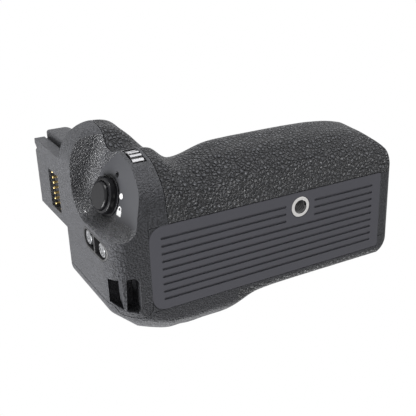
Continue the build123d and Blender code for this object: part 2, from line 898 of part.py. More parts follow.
def tray_cover(outer):
    """End cover of the battery tray, with the latch recess."""
    cover = outer & cover_prism(0, plate_right)
    cover -= rod_x(knob_radius + knob_gap, reach_right - knob_depth, reach_right + overrun, sleeve_middle,
                   latch_z)
    cover -= rod_x(latch_shaft_radius + running_clearance, plate_right - overrun, reach_right,
                   sleeve_middle, latch_z)
    return largest(cover)


def tray_gasket():
    """Soft ring behind the cover."""
    x1 = plate_right
    x0 = x1 - gasket_thickness
    y0, y1 = sleeve_middle - tray_width / 2, sleeve_middle + tray_width / 2
    grow = gasket_gap + gasket_width
    ring = block(x0, x1, y0 - grow, y1 + grow, tray_bottom - grow, tray_top + grow)
    return ring - block(x0 - skin, x1 + skin, y0 - gasket_gap, y1 + gasket_gap, tray_bottom - gasket_gap,
                        tray_top + gasket_gap)


def latch_knob():
    """Turning latch in the cover, with its finger bar and shaft."""
    x1 = reach_right - seam
    x0 = reach_right - knob_depth + seam
    knob = rod_x(knob_radius, x0, x1, sleeve_middle, latch_z)
    for side in (-1, 1):
        y0 = sleeve_middle + side * knob_bar_width / 2
        y1 = sleeve_middle + side * knob_radius
        sink = block(x1 - knob_bar_sink, x1 + overrun, min(y0, y1), max(y0, y1), latch_z - knob_radius,
                     latch_z + knob_radius)
        knob -= sink & rod_x(knob_radius - skin, x0, x1 + overrun, sleeve_middle, latch_z)
    return knob + rod_x(latch_shaft_radius, plate_right - cam_gap - cam_thickness, x0, sleeve_middle, latch_z)


def latch_cam():
    """Bolt on the inner end of the latch shaft."""
    x1 = plate_right - cam_gap
    x0 = x1 - cam_thickness
    arm = block(x0, x1, sleeve_middle - cam_width / 2, sleeve_middle + cam_width / 2, latch_z,
                latch_z + cam_reach)
    cam = rod_x(cam_hub_radius, x0, x1, sleeve_middle, latch_z) + arm
    return cam - rod_x(latch_shaft_radius, x0 - skin, x1 + skin, sleeve_middle, latch_z)


def battery_chamber():
    """Closed sleeve for the tray, with rails, posts and the stud's foot bearing."""
    y0, y1 = sleeve_middle - sleeve_width / 2, sleeve_middle + sleeve_width / 2
    sleeve = block(sleeve_left, block_face, y0, y1, sleeve_bottom, sleeve_top)
    sleeve -= sleeve_hole(sleeve_left + sleeve_wall, block_face + overrun)
    for side in (-1, 1):
        y = sleeve_middle + side * rail_spread
        sleeve += block(sleeve_left + end_block, block_face - end_block, y - rail_width / 2,
                        y + rail_width / 2, floor_wall, sleeve_bottom)
    for x, y in rail_places():
        sleeve += rod(rail_post_radius, floor_wall, sleeve_bottom, x, y)
        sleeve -= rod(screw_radius + screw_clearance, 0, floor_screw_z + floor_screw_length + screw_gap, x, y)
    for x, y in post_places():
        sleeve += rod(post_radius, sleeve_top, plate_floor, x, y)
        sleeve -= rod(screw_radius + screw_clearance, plate_floor - screw_length, plate_floor + overrun, x, y)
    for x, y in board_post_places():
        sleeve += rod(board_post_radius, sleeve_top, board_bottom, x, y)
    sleeve += rod(cup_radius, sleeve_top, sleeve_top + cup_height, 0, stud_y)
    sleeve -= rod(stud_shank_radius + stud_clearance, sleeve_top, sleeve_top + cup_height + skin, 0, stud_y)
    for y in blade_places():
        z = latch_z
        sleeve -= block(sleeve_left - skin, sleeve_left + sleeve_wall + skin, y - blade_thickness,
                        y + blade_thickness,
                        z - blade_height / 2 - seam, z + blade_height / 2 + seam)
    return sleeve


def post_places():
    """Top plate posts round the thumbwheel."""
    return [(x, y) for x in (-post_left, post_right) for y in (-post_front, post_back)]


def board_post_places():
    """Standoffs of the main board."""
    xs = (-board_left + board_post_inset, -board_right - board_post_inset)
    return [(x, y) for x in xs for y in (-board_front + board_post_inset, board_back - board_post_inset)]


def blade_places():
    """Rows of the supply contacts."""
    return [sleeve_middle + blade_pitch * (i - (blade_count - 1) / 2) for i in range(blade_count)]


def battery_tray():
    """Open tray with two battery bays and room for the latch bolt."""
    y0, y1 = sleeve_middle - tray_width / 2, sleeve_middle + tray_width / 2
    tray = block(tray_left, tray_right, y0, y1, tray_bottom, tray_top)
    floor = tray_bottom + tray_wall
    for x0 in (tray_left + tray_wall, tray_left + tray_wall + bay_length + tray_wall):
        tray -= block(x0, x0 + bay_length, y0 + tray_wall, y1 - tray_wall, floor, tray_top + overrun)
    tray -= block(tray_end, tray_right + overrun, y0 + tray_wall, y1 - tray_wall, floor, tray_top + overrun)
    rows = blade_places()
    grow = contact_window_margin + blade_thickness / 2
    half = blade_height / 2 + contact_window_margin
    return tray - block(tray_left - skin, tray_left + tray_wall + skin / 4, rows[0] - grow,
                        rows[-1] + grow, latch_z - half, latch_z + half)


def tray_terminals():
    """Contact strip for the second pack, on the partition."""
    x0 = tray_left + tray_wall + bay_length + tray_wall
    strip = block(x0, x0 + terminal_thickness, sleeve_middle - terminal_width / 2,
                  sleeve_middle + terminal_width / 2,
                  latch_z - terminal_height / 2, latch_z + terminal_height / 2)
    for y in blade_places()[1:-1]:
        strip += block(x0, x0 + terminal_thickness + blade_reach, y - blade_thickness / 2,
                       y + blade_thickness / 2,
                       latch_z - blade_height / 2, latch_z + blade_height / 2)
    return strip


def chamber_contacts():
    """Supply contact block at the closed end of the chamber."""
    rows = blade_places()
    base = block(sleeve_left - contact_base_length, sleeve_left, rows[0] - blade_pitch,
                 rows[-1] + blade_pitch,
                 latch_z - contact_height / 2, latch_z + contact_height / 2)
    for y in rows:
        base += block(sleeve_left - skin, tray_left + tray_wall + blade_reach, y - blade_thickness / 2,
                      y + blade_thickness / 2,
                      latch_z - blade_height / 2, latch_z + blade_height / 2)
    return base


def main_board():
    """Circuit board over the chamber."""
    return block(-board_left, -board_right, -board_front, board_back, board_bottom,
                 board_bottom + board_thickness)


def flex_ribbon():
    """Flat cable from the board up into the tower."""
    x0 = tower_inner_left() + block_length
    z0 = board_bottom + board_thickness
    y0 = ribbon_y0()
    flat = block(x0, -board_left + ribbon_landing, y0, y0 + ribbon_width, z0, z0 + ribbon_thickness)
    return flat + block(x0, x0 + ribbon_thickness, y0, y0 + ribbon_width, z0,
                        body_height + window_bottom + ribbon_rise)


def tower_outline(inset):
    """Plan of the contact tower."""
    back = tower_back - inset
    right = -tower_right - inset
    step = tower_front + tower_step - inset
    return [
        (left + inset, -tower_front + inset),
        (-tower_step_left - tower_groove, -tower_front + inset),
        (-tower_step_left - tower_groove, -tower_front + inset + tower_groove * (0 if inset else 1)),
        (-tower_step_left + inset, -tower_front + inset + tower_groove * (0 if inset else 1)),
        (-tower_step_left + inset, -step),
        (right, -step),
        (right, back),
        (left + inset, back),
    ]


def tower_housing():
    """Contact tower that reaches into the camera's battery well."""
    radii = (seam, seam, seam, seam, skin, tower_corner, seam, seam)
    shell = prism(tower_outline(0), body_height, tower_top, radii)
    inner = (
        (left + tower_wall, -tower_front + tower_wall),
        (-tower_right - tower_wall, -tower_front + tower_wall),
        (-tower_right - tower_wall, tower_back - tower_wall),
        (left + tower_wall, tower_back - tower_wall),
    )
    shell -= prism(inner, body_height - overrun, tower_top - tower_wall,
                   (skin, tower_corner - tower_wall, skin, skin))
    shell -= block(left - overrun, left + overrun, -window_front, window_back, body_height + window_bottom,
                   body_height + window_top)
    notch = Polyline((-notch_y - notch_depth, tower_top + skin),
                     (-notch_y + notch_depth, tower_top + skin), (-notch_y, tower_top - notch_depth),
                     close=True)
    side = Plane(origin=(left - overrun, 0, 0), x_dir=(0, 1, 0), z_dir=(1, 0, 0)).location
    shell -= side * extrude(make_face(notch.edges()), overrun + tower_wall / 2)
    for y in (-tower_boss_front, tower_boss_back):
        shell += rod(tower_boss_radius, body_height, body_height + tower_boss_height, -tower_boss_x, y)
        shell -= rod(screw_radius + screw_clearance, body_height - skin,
                     body_height + tower_boss_height - skin, -tower_boss_x, y)
    return shell


def pin_places():
    """Contact pins of the tower."""
    ys = [pin_first + pin_pitch * i for i in range(pin_rows)]
    return [(y, body_height + z) for z in (pin_low, pin_high) for y in ys]


def contact_block():
    """Insulating block that holds the spring pins."""
    x0 = tower_inner_left()
    low, high = body_height + window_bottom, body_height + window_top
    body = block(x0, x0 + block_length, -window_front - block_margin, window_back + block_margin,
                 low - block_margin, high + block_margin)
    body -= block(x0 - overrun, x0 + block_recess, -window_front, window_back, low, high)
    for y, z in pin_places():
        body -= rod_x(pin_radius + pin_hole_clearance, x0 - overrun, x0 + block_length - pin_stop, y, z)
    return body


def contact_pins():
    """Spring pins, all alike."""
    x0 = tower_inner_left() + block_recess - pin_proud
    x1 = tower_inner_left() + block_length - pin_stop - pin_travel - pin_stop
    pins = []
    for y, z in pin_places():
        pin = rod_x(pin_radius, x0, x1, y, z)
        pins.append(fillet(pin.edges().sort_by(Axis.X)[:1], pin_tip_round))
    return Compound(children=[Part(pin.wrapped) for pin in pins])


def release_barrel():
    """Barrel in the dish that guides the release button and holds its switch."""
    barrel = rod(barrel_radius, -barrel_depth, barrel_collar) + rod(barrel_collar_radius, 0, barrel_collar)
    barrel -= rod(ring_neck_radius + running_clearance, barrel_web - barrel_depth, overrun)
    tail = rod(barrel_tail_radius, -barrel_depth - barrel_tail, -barrel_depth)
    tail -= rod(release_switch_radius + running_clearance, -barrel_depth - barrel_tail, -barrel_depth)
    barrel = barrel + tail - rod(release_stem_radius + running_clearance, -barrel_depth - overrun, overrun)
    return dish_place * barrel


def release_lock_ring():
    """Turning ring round the release button, with its pointer tab."""
    ring = fillet(rod(ring_radius, ring_bottom, ring_top).edges().sort_by(Axis.Z)[-1:], release_crown / 2)
    tab = extrude(Circle(ring_tab_radius), (ring_top - ring_bottom) * ring_tab_share)
    tab = Rot(0, 0, ring_tab_degrees) * Pos(ring_radius, 0, ring_bottom) * tab
    neck = rod(ring_neck_radius, -ring_neck, ring_bottom)
    return dish_place * (ring + tab + neck - rod(ring_bore_radius, -overrun, overrun))


def release_button():
    """Crowned release button with its stem."""
    cap = fillet(rod(release_radius, release_bottom, release_top).edges().sort_by(Axis.Z)[-1:], release_crown)
    return dish_place * (cap + rod(release_stem_radius, -release_stem_end, release_bottom))


def release_switch():
    """Switch under the release button."""
    top = -release_stem_end - release_travel - switch_gap
    return dish_place * rod(release_switch_radius, top - release_switch_height, top)


def button_insert(outer):
    """Insert with two wells for the small buttons."""
    floor = left + insert_depth
    cup = insert_prism(0, left - overrun, floor + insert_wall) & outer
    cup -= insert_prism(-insert_wall, left - overrun, floor)
    bar = block(left, floor, insert_y - insert_width / 2, insert_y + insert_width / 2,
                insert_z - divider / 2, insert_z + divider / 2)
    cup += bar & insert_prism(0, left, floor) & outer
    for side in (-1, 1):
        cup -= rod_x(small_stem_radius + running_clearance, floor - skin, floor + overrun, insert_y,
                     insert_z + side * small_button_spread)
    return cup + rod_x(insert_post_radius, floor + insert_wall, floor + insert_tail, insert_y, insert_z)


def small_button(side):
    """Round metal button with its stem."""
    x0 = left + small_button_recess
    x1 = x0 + small_button_height
    z = insert_z + side * small_button_spread
    cap = fillet(rod_x(small_button_radius, x0, x1, insert_y, z).edges().sort_by(Axis.X)[:1], seam)
    dome = left + insert_depth + insert_tail - dome_height
    return cap + rod_x(small_stem_radius, x1, dome - switch_gap - small_button_travel, insert_y, z)


def button_board():
    """Small board with a dome switch behind each button."""
    x0 = left + insert_depth + insert_tail
    board = block(x0, x0 + button_board_thickness, insert_y - insert_width / 2 + button_board_margin,
                  insert_y + insert_width / 2 - button_board_margin,
                  insert_z - insert_length / 2 + button_board_margin,
                  insert_z + insert_length / 2 - button_board_margin)
    for side in (-1, 1):
        board += rod_x(dome_radius, x0 - dome_height, x0, insert_y, insert_z + side * small_button_spread)
    return board


def toothed_wheel(radius, width, count, bore):
    """Wheel with square teeth and a bore, standing on z = 0."""
    return extrude(gear(radius, tooth_depth, count), width) - rod(bore, -overrun, width + overrun)


def front_dial():
    """Front command dial."""
    wheel = toothed_wheel(front_dial_radius, front_dial_width, front_dial_teeth,
                          dial_axle_radius + running_clearance)
    return Pos(-front_dial_x - front_dial_width / 2, -front_dial_y, front_dial_z) * Rot(0, 90, 0) * wheel


def front_dial_axle():
    """Axle of the front dial."""
    half = front_dial_width / 2 + dial_gap + dial_cheek - seam
    return rod_x(dial_axle_radius, -front_dial_x - half, -front_dial_x + half, -front_dial_y, front_dial_z)


def rear_dial():
    """Rear command dial."""
    wheel = toothed_wheel(rear_dial_radius, rear_dial_width, rear_dial_teeth,
                          dial_axle_radius + running_clearance)
    return Pos(-rear_dial_x, rear_dial_y, rear_dial_z - rear_dial_width / 2) * wheel


def rear_dial_axle():
    """Axle of the rear dial."""
    half = rear_dial_width / 2 + dial_gap + dial_cheek - seam
    return rod(dial_axle_radius, rear_dial_z - half, rear_dial_z + half, -rear_dial_x, rear_dial_y)


def focus_button():
    """Focus button on the slope."""
    cap = fillet(rod(focus_radius, -focus_depth, focus_proud).edges().sort_by(Axis.Z)[-1:], seam)
    return focus_place * (cap + rod(focus_stem_radius, -focus_depth - focus_stem, -focus_depth))


def focus_board():
    """Switch board under the focus button."""
    depth = focus_board_depth()
    return focus_place * block(-focus_board_length / 2, focus_board_length / 2, -focus_board_width / 2,
                               focus_board_width / 2,
                               -depth - button_board_thickness, -depth)


def opening_prism(grow, z0, z1):
    """Opening in the roof that the top plate fills."""
    points = (
        (-opening_left - grow, -opening_front - grow),
        (opening_right + grow, -opening_front - grow),
        (opening_right + grow, opening_back + grow),
        (-opening_left - grow, opening_back + grow),
    )
    return prism(points, z0, z1, (opening_corner,) * 4)


def top_plate():
    """Metal plate under the camera, with its flange below the roof."""
    plate = opening_prism(-seam / 2, inner_roof, body_height)
    plate += opening_prism(flange_width, plate_floor, inner_roof)
    plate -= rod(bush_radius, plate_floor - overrun, body_height + overrun, 0, stud_y)
    for x, y in post_places():
        plate -= rod(screw_radius + screw_clearance, plate_floor - overrun, body_height + overrun, x, y)
        plate -= rod(screw_head_radius + screw_clearance, body_height - screw_sink - screw_head_height,
                     body_height + overrun, x, y)
    for x in (-locating_left, locating_right):
        plate -= rod(locating_base_radius, plate_floor - overrun, body_height + overrun, x, stud_y)
    return plate


def stud_bush():
    """Bearing of the mounting stud in the top plate."""
    bore = rod(stud_shank_radius + stud_clearance, plate_floor - overrun, body_height + overrun, 0, stud_y)
    return rod(bush_radius, plate_floor, body_height, 0, stud_y) - bore


def mounting_stud():
    """Stud that screws into the camera's tripod thread."""
    top = body_height + pad_thickness + stud_proud
    stud = rod(stud_radius, body_height, top, 0, stud_y)
    stud += rod(stud_shank_radius, sleeve_top + stud_foot, body_height, 0, stud_y)
    return chamfer(stud.edges().sort_by(Axis.Z)[-1:], seam + seam)


def thumbwheel():
    """Knurled wheel on the stud."""
    wheel = extrude(gear(wheel_radius, wheel_tooth, wheel_teeth), wheel_thickness)
    wheel -= rod(stud_shank_radius, -overrun, wheel_thickness + overrun)
    return Pos(0, stud_y, wheel_bottom) * wheel


def locating_pins():
    """Two pins that line the camera up."""
    pins = []
    for x in (-locating_left, locating_right):
        pin = rod(locating_radius, body_height, body_height + pad_thickness + locating_proud, x, stud_y)
        pin = fillet(pin.edges().sort_by(Axis.Z)[-1:], locating_radius / 2)
        pins.append(pin + rod(locating_base_radius, plate_floor, body_height, x, stud_y))
    return Compound(children=[Part(pin.wrapped) for pin in pins])


def mating_pad():
    """Soft pad on the top plate."""
    pad = opening_prism(-pad_inset, body_height, body_height + pad_thickness)
    pad -= rod(bush_radius, body_height - overrun, body_height + overrun, 0, stud_y)
    for x in (-locating_left, locating_right):
        pad -= rod(locating_radius + pad_hole_margin, body_height - overrun, body_height + overrun, x, stud_y)
    return pad


def screws(places, z_head, up, length):
    """Pan head screws, pointing up or down from the underside of their heads."""
    made = []
    for x, y in places:
        end = z_head + up * length
        screw = rod(screw_radius, min(z_head, end), max(z_head, end), x, y)
        top = z_head - up * screw_head_height
        head = rod(screw_head_radius, min(z_head, top), max(z_head, top), x, y)
        sink = top + up * screw_head_height / 2
        driver = rod(screw_radius * driver_share, min(top, sink), max(top, sink), x, y)
        made.append(screw + head - driver)
    return Compound(children=[Part(one.wrapped) for one in made])


def main():
    """Build and write every node."""
    outer, under, hollow = build_forms()
    save(end_housing(outer, hollow), "end_housing")
    save(main_shell(outer, under, hollow), "main_shell")
    save(rear_shell(outer, under, hollow), "rear_shell")
    skin_shell = outer - under
    front_skin = (skin_shell & rubber_region()) - end_region(seam) - plate_prism(seam, plate_thickness)
    front_skin -= cover_prism(seam, plate_right - seam)
    save(largest(front_skin), "grip_rubber")
    save(largest(skin_shell & rear_rubber_region()), "rear_rubber")
    save(tray_cover(outer), "tray_cover")
    save(button_insert(outer), "button_insert")
    plain = (
        base_plate, tripod_socket, tray_gasket, latch_knob, latch_cam, battery_chamber, battery_tray,
        tray_terminals, chamber_contacts, main_board, flex_ribbon, tower_housing, contact_block, contact_pins,
        release_barrel, release_lock_ring, release_button, release_switch, button_board, front_dial,
        front_dial_axle, rear_dial, rear_dial_axle, focus_button, focus_board, top_plate, stud_bush,
        mounting_stud, thumbwheel, locating_pins, mating_pad,
    )
    for make in plain:
        save(make(), make.__name__)
    save(small_button(1), "upper_function_button")
    save(small_button(-1), "lower_function_button")
    tower_places = [(-tower_boss_x, y) for y in (-tower_boss_front, tower_boss_back)]
    save(screws(tower_places, inner_roof, 1, screw_length), "tower_screws")
    save(screws(post_places(), body_height - screw_sink - screw_head_height, -1, screw_length),
         "top_plate_screws")
    save(screws(rail_places(), floor_screw_z, 1, floor_screw_length), "floor_screws")


if __name__ == "__main__":
    main()
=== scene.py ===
"""Camera battery grip: finishes, modelled details, studio and camera round its solid model."""
import json
import math

import bmesh
import bpy
from bpy.props import FloatProperty, FloatVectorProperty, IntProperty, PointerProperty
from mathutils import Matrix, Vector


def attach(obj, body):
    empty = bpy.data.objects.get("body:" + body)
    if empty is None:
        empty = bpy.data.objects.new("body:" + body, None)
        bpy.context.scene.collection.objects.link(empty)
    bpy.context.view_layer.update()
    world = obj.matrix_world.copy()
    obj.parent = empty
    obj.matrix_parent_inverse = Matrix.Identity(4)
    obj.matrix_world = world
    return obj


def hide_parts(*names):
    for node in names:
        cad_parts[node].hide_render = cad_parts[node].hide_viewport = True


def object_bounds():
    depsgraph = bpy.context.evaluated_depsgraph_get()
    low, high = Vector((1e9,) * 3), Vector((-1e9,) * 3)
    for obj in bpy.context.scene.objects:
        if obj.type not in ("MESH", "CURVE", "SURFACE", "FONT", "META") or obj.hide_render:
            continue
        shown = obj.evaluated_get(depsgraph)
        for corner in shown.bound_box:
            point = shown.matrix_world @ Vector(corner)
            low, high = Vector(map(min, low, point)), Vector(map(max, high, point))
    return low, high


bl_info = {
    "name": "Camera Battery Grip",
    "version": (1, 0, 0),
    "blender": (4, 5, 0),
    "location": "View3D > Sidebar > Battery Grip",
    "description": "Finishes and details of a camera battery grip",
    "category": "Object",
}

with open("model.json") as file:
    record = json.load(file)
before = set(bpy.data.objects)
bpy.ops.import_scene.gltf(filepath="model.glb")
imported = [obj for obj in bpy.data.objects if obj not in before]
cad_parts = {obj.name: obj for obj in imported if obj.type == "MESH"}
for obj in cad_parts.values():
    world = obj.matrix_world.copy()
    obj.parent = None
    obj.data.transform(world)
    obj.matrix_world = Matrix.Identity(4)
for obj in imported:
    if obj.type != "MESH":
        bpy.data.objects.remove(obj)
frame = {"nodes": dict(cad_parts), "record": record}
cad_low, cad_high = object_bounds()
bodies = frame["record"]["behaviour"]["bodies"]
slots = {part["node"]: part["material_slot"] for part in frame["record"]["subparts"]}
mm = 0.001

# Release dish: base of the button on its floor, and the directions of the floor
dish_base = Vector((-79.0, -14.6, 24.2)) * mm
dish_out = Vector((-0.954, -0.271, -0.131)).normalized()
dish_side = Vector((0.273, -0.962, 0.0)).normalized()
dish_up = dish_out.cross(dish_side)

# Camera of the photograph
eye = Vector((-171.89, -118.71, -234.75)) * mm
eye_right = Vector((0.87406823, 0.03391252, -0.48461807))
eye_up = Vector((0.21088831, -0.92515317, 0.31562277))
eye_ahead = Vector((0.43764238, 0.37807612, 0.81579874))
eye_lens = 61.69
eye_sensor, eye_nearest, eye_farthest = 36, 0.01, 10
aim = Vector((-18.0, 0.0, 22.0)) * mm

# Lamps: way from the aim to the left, up and towards the camera, distance, size and power
lamps = (
    ("key", (0.25, 0.95, 0.55), 0.7, 0.4, 1.9),
    ("front", (-0.1, 0.2, 1.0), 0.8, 0.7, 0.5),
    ("rear_left", (0.5, 0.35, -0.8), 0.8, 0.6, 0.4),
    ("low_left", (0.8, -0.6, 0.4), 0.7, 0.4, 9.0),
    ("crown", (-0.25, 0.9, 0.2), 0.8, 0.2, 6.0),
    ("right", (-1.0, 0.3, 0.4), 0.8, 0.5, 0.9),
    ("below", (-0.1, -0.9, -0.4), 0.8, 0.6, 4.0),
)
surround_level = 0.15
white = (1, 1, 1, 1)
floor_half = 1.5
floor_drop = 0.3 * mm

# Specular levels of the plastics and rubbers
sheen = {
    "shell": 0.16, "dish_wall": 0.7, "dish_floor": 0.25, "plate": 0.16,
    "rubber": 0.35, "dial": 0.3, "soft": 0.25, "gloss": 0.2,
}

# Copies of the solids' meshes: what counts as one corner, and as lying in a cut
merge_reach = 0.000002
cut_reach = 0.0000001

# Faces of the release dish: reach from the base of its button, and heights above its floor
dish_reach = 31 * mm
dish_lowest, dish_highest, dish_step = -8 * mm, 20 * mm, 1 * mm
floor_reach = 0.3 * mm

# Pebbled patch of the lip, in millimetres
lip_start, lip_end, lip_front, lip_foot = -73.8, -55, -20, 28

# Tripod socket: edge and start of its bore in millimetres, then its thread
bore_edge, bore_start = 3.6, 0.3
thread_radius, thread_depth = 3.175 * mm, 0.62 * mm
crest_share, root_share, first_turn = 0.44, 0.2, 0.6
turn_steps = 48

# Marks on the dish floor: sideways and up from the base of the button, in millimetres
dot_place = (2.8, -9.6)
lock_place = (-4.1, -10.2)
mark_lift, mark_depth = 0.01, 0.06
lock_width, lock_height = 3.2, 2.3
bow_inner, bow_outer, bow_rise, bow_leg, bow_steps = 0.75, 1.25, 1.6, 0.5, 14

# Silver caps of the function buttons
cap_radius, cap_height, cap_round = 3.1 * mm, 1.0 * mm, 0.3 * mm
cap_border, dimple_border, dimple_depth = 0.5 * mm, 0.7 * mm, 0.14 * mm
cap_sink, button_face = 0.02 * mm, 0.8 * mm
sharp = 0.6

# Toothed wheels: centre in millimetres, axis and outer radius
wheels = (
    ("front_dial", (-68.5, -24.2, 20.5), 0, 8.3),
    ("rear_dial", (-74.0, 26.5, 38.2), 2, 8.0),
    ("thumbwheel", (0.0, 8.0, 43.2), 2, 22.5),
)
tooth_reach = 0.2


class GripLooks(bpy.types.PropertyGroup):
    """Colours and sizes of the finishes."""

    shell_colour: FloatVectorProperty(
        name="Shell", description="Moulded shell plastic", subtype="COLOR", min=0, max=1,
        default=(0.050, 0.051, 0.056))
    plate_colour: FloatVectorProperty(
        name="Base plate", description="Ribbed plate on the underside", subtype="COLOR", min=0, max=1,
        default=(0.112, 0.112, 0.128))
    rubber_colour: FloatVectorProperty(
        name="Grip rubber", description="Pebbled grip skins", subtype="COLOR", min=0, max=1,
        default=(0.034, 0.035, 0.039))
    gloss_colour: FloatVectorProperty(
        name="Polished parts", description="Release button, its ring and the focus button", subtype="COLOR",
        min=0, max=1, default=(0.007, 0.007, 0.008))
    mark_colour: FloatVectorProperty(
        name="Marks", description="Printed dot and lock mark", subtype="COLOR", min=0, max=1,
        default=(0.85, 0.85, 0.85))
    pebble_size: FloatProperty(
        name="Pebble size", description="Width of one pebble of the grip rubber", subtype="DISTANCE",
        unit="LENGTH", min=0.0004, max=0.006, default=0.00165)
    pebble_depth: FloatProperty(
        name="Pebble depth", description="Depth of the grooves between the pebbles", subtype="DISTANCE",
        unit="LENGTH", min=0, max=0.002, default=0.0012)
    grain_size: FloatProperty(
        name="Shell grain", description="Width of the grain in the moulded shell", subtype="DISTANCE",
        unit="LENGTH", min=0.0001, max=0.003, default=0.0008)
    grain_depth: FloatProperty(
        name="Grain depth", description="Depth of the shell's grain", subtype="DISTANCE",
        unit="LENGTH", min=0, max=0.0005, default=0.00026)
    edge_round: FloatProperty(
        name="Edge round", description="Radius that the light sees on every moulded edge",
        subtype="DISTANCE", unit="LENGTH", min=0, max=0.002, default=0.00035)
    crease: FloatProperty(
        name="Crease", description="Angle above which two faces meet in an edge", subtype="ANGLE",
        unit="ROTATION", min=0, max=math.pi, default=math.radians(28))
    thread_pitch: FloatProperty(
        name="Thread pitch", description="Pitch of the tripod thread", subtype="DISTANCE", unit="LENGTH",
        min=0.0005, max=0.003, default=0.00127)
    thread_turns: IntProperty(
        name="Thread turns", description="Turns of thread in the tripod socket", min=1, max=12, default=5)
    dot_radius: FloatProperty(
        name="Dot", description="Radius of the printed dot beside the release button", subtype="DISTANCE",
        unit="LENGTH", min=0.0002, max=0.003, default=0.0012)
    lamp_level: FloatProperty(
        name="Lamp level", description="Strength of all the lamps together", min=0, max=5, default=1.0)


class Value:
    """A shader socket that takes part in arithmetic."""

    def __init__(self, paint, socket):
        self.paint = paint
        self.socket = socket

    def __add__(self, other):
        return self.paint.maths("ADD", self, other)

    def __sub__(self, other):
        return self.paint.maths("SUBTRACT", self, other)

    def __mul__(self, other):
        return self.paint.maths("MULTIPLY", self, other)

    def __rsub__(self, other):
        return self.paint.maths("SUBTRACT", other, self)

    __radd__ = __add__
    __rmul__ = __mul__


class Paint:
    """Builds the nodes of one finish."""

    def __init__(self, name):
        self.material = bpy.data.materials.new(name)
        self.material.use_nodes = True
        self.tree = self.material.node_tree
        self.tree.nodes.clear()
        self.place = self.node("TexCoord", output="Object")

    def node(self, kind, settings=None, sockets=None, output=0):
        """Add a node: settings first, then the values or links of its sockets."""
        node = self.tree.nodes.new("ShaderNode" + kind)
        for name, setting in (settings or {}).items():
            if name == "stops":
                self.set_stops(node.color_ramp.elements, setting)
            else:
                setattr(node, name, setting)
        for name, value in (sockets or {}).items():
            if isinstance(value, Value):
                self.tree.links.new(value.socket, node.inputs[name])
            else:
                node.inputs[name].default_value = value
        return Value(self, node.outputs[output])

    def set_stops(self, ramp, stops):
        """Set the greys of a ramp: its two ends, then what lies between."""
        ramp[0].position, ramp[-1].position = stops[0][0], stops[-1][0]
        for place, _ in stops[1:-1]:
            ramp.new(place)
        for element, (_, grey) in zip(ramp, stops):
            element.color = (grey, grey, grey, 1)

    def maths(self, operation, one, other=0.0, clamp=False):
        """Arithmetic on two values."""
        return self.node("Math", {"operation": operation, "use_clamp": clamp}, {0: one, 1: other})

    def mix(self, one, other, share):
        """Blend of two colours."""
        return self.node("Mix", {"data_type": "RGBA"}, {0: share, 6: solid(one), 7: solid(other)}, 2)

    def steps(self, value, *stops):
        """Values through a ramp of greys."""
        return self.node("ValToRGB", {"stops": stops}, {"Fac": value})

    def noise(self, size, detail=2.0, place=None, roughness=0.5):
        """Soft noise with features of one width."""
        sockets = {"Vector": place or self.place, "Scale": 1 / size, "Detail": detail, "Roughness": roughness}
        return self.node("TexNoise", {}, sockets, "Fac")

    def warped(self, size, amount):
        """Place, moved about by soft noise."""
        wander = self.node("TexNoise", {}, {"Vector": self.place, "Scale": 1 / size, "Detail": 1.0}, "Color")
        moved = self.node("VectorMath", {"operation": "SUBTRACT"}, {0: wander, 1: (0.5, 0.5, 0.5)})
        moved = self.node("VectorMath", {"operation": "SCALE"}, {0: moved, "Scale": amount})
        return self.node("VectorMath", {"operation": "ADD"}, {0: self.place, 1: moved})

    def bump(self, height, depth, strength=1.0, rounded=0.0):
        """Surface normal from a height, with rounded edges below it."""
        sockets = {"Height": height, "Distance": depth, "Strength": strength}
        if rounded:
            sockets["Normal"] = self.node("Bevel", {"samples": 4}, {"Radius": rounded})
        return self.node("Bump", {}, sockets)

    def edges(self, reach):
        """Nearly one along convex edges, for wear."""
        bent = self.node("Bevel", {"samples": 4}, {"Radius": reach})
        plain = self.node("NewGeometry", output="Normal")
        same = self.node("VectorMath", {"operation": "DOT_PRODUCT"}, {0: bent, 1: plain}, "Value")
        return self.maths("MULTIPLY", 1 - same, 4.0, clamp=True)

    def finish(self, colour, roughness, normal=None, metallic=0.0, **fixed):
        """Close the finish with its surface shader."""
        sockets = {"Base Color": solid(colour), "Roughness": roughness, "Metallic": metallic}
        if normal:
            sockets["Normal"] = normal
        sockets.update({name.replace("_", " "): value for name, value in fixed.items()})
        shader = self.node("BsdfPrincipled", {}, sockets)
        self.close(shader)
        return self.material

    def close(self, shader):
        """Link a shader to the output."""
        output = self.tree.nodes.new("ShaderNodeOutputMaterial")
        self.tree.links.new(shader.socket, output.inputs["Surface"])


def solid(colour):
    """A colour with its alpha, or a link as it is."""
    return colour if isinstance(colour, Value) else (*colour[:3], 1.0)


def shade(colour, factor):
    """A lighter or darker colour."""
    return tuple(min(1.0, part * factor) for part in colour)


def looks():
    """The user's colours and sizes."""
    return bpy.context.scene.grip_looks


def kept(make):
    """Make each finish once and share it after that."""
    made = {}

    def once(*words):
        if words not in made:
            made[words] = make(*words)
        return made[words]

    once.__doc__ = make.__doc__
    return once


@kept
def shell_finish():
    """Moulded shell: spark-eroded grain, worn a little lighter along its edges."""
    paint = Paint("moulded_shell")
    own = looks()
    grain = paint.steps(paint.noise(own.grain_size, 2.0), (0.36, 0.0), (0.64, 1.0))
    coarse = paint.noise(own.grain_size * 3.1, 1.0)
    clouds = paint.noise(0.02, 3.0)
    colour = paint.mix(shade(own.shell_colour, 0.55), shade(own.shell_colour, 0.75), clouds)
    colour = paint.mix(colour, shade(own.shell_colour, 2.0), grain * 0.6)
    # Painted highlight: the shell is made lighter along its convex edges, where light catches them.
    colour = paint.mix(colour, shade(own.shell_colour, 2.6), paint.edges(own.edge_round * 1.2) * 0.6)
    roughness = 0.42 + grain * 0.16
    normal = paint.bump(grain + coarse * 0.6, own.grain_depth, 0.9, own.edge_round)
    return paint.finish(colour, roughness, normal, Specular_IOR_Level=sheen["shell"])


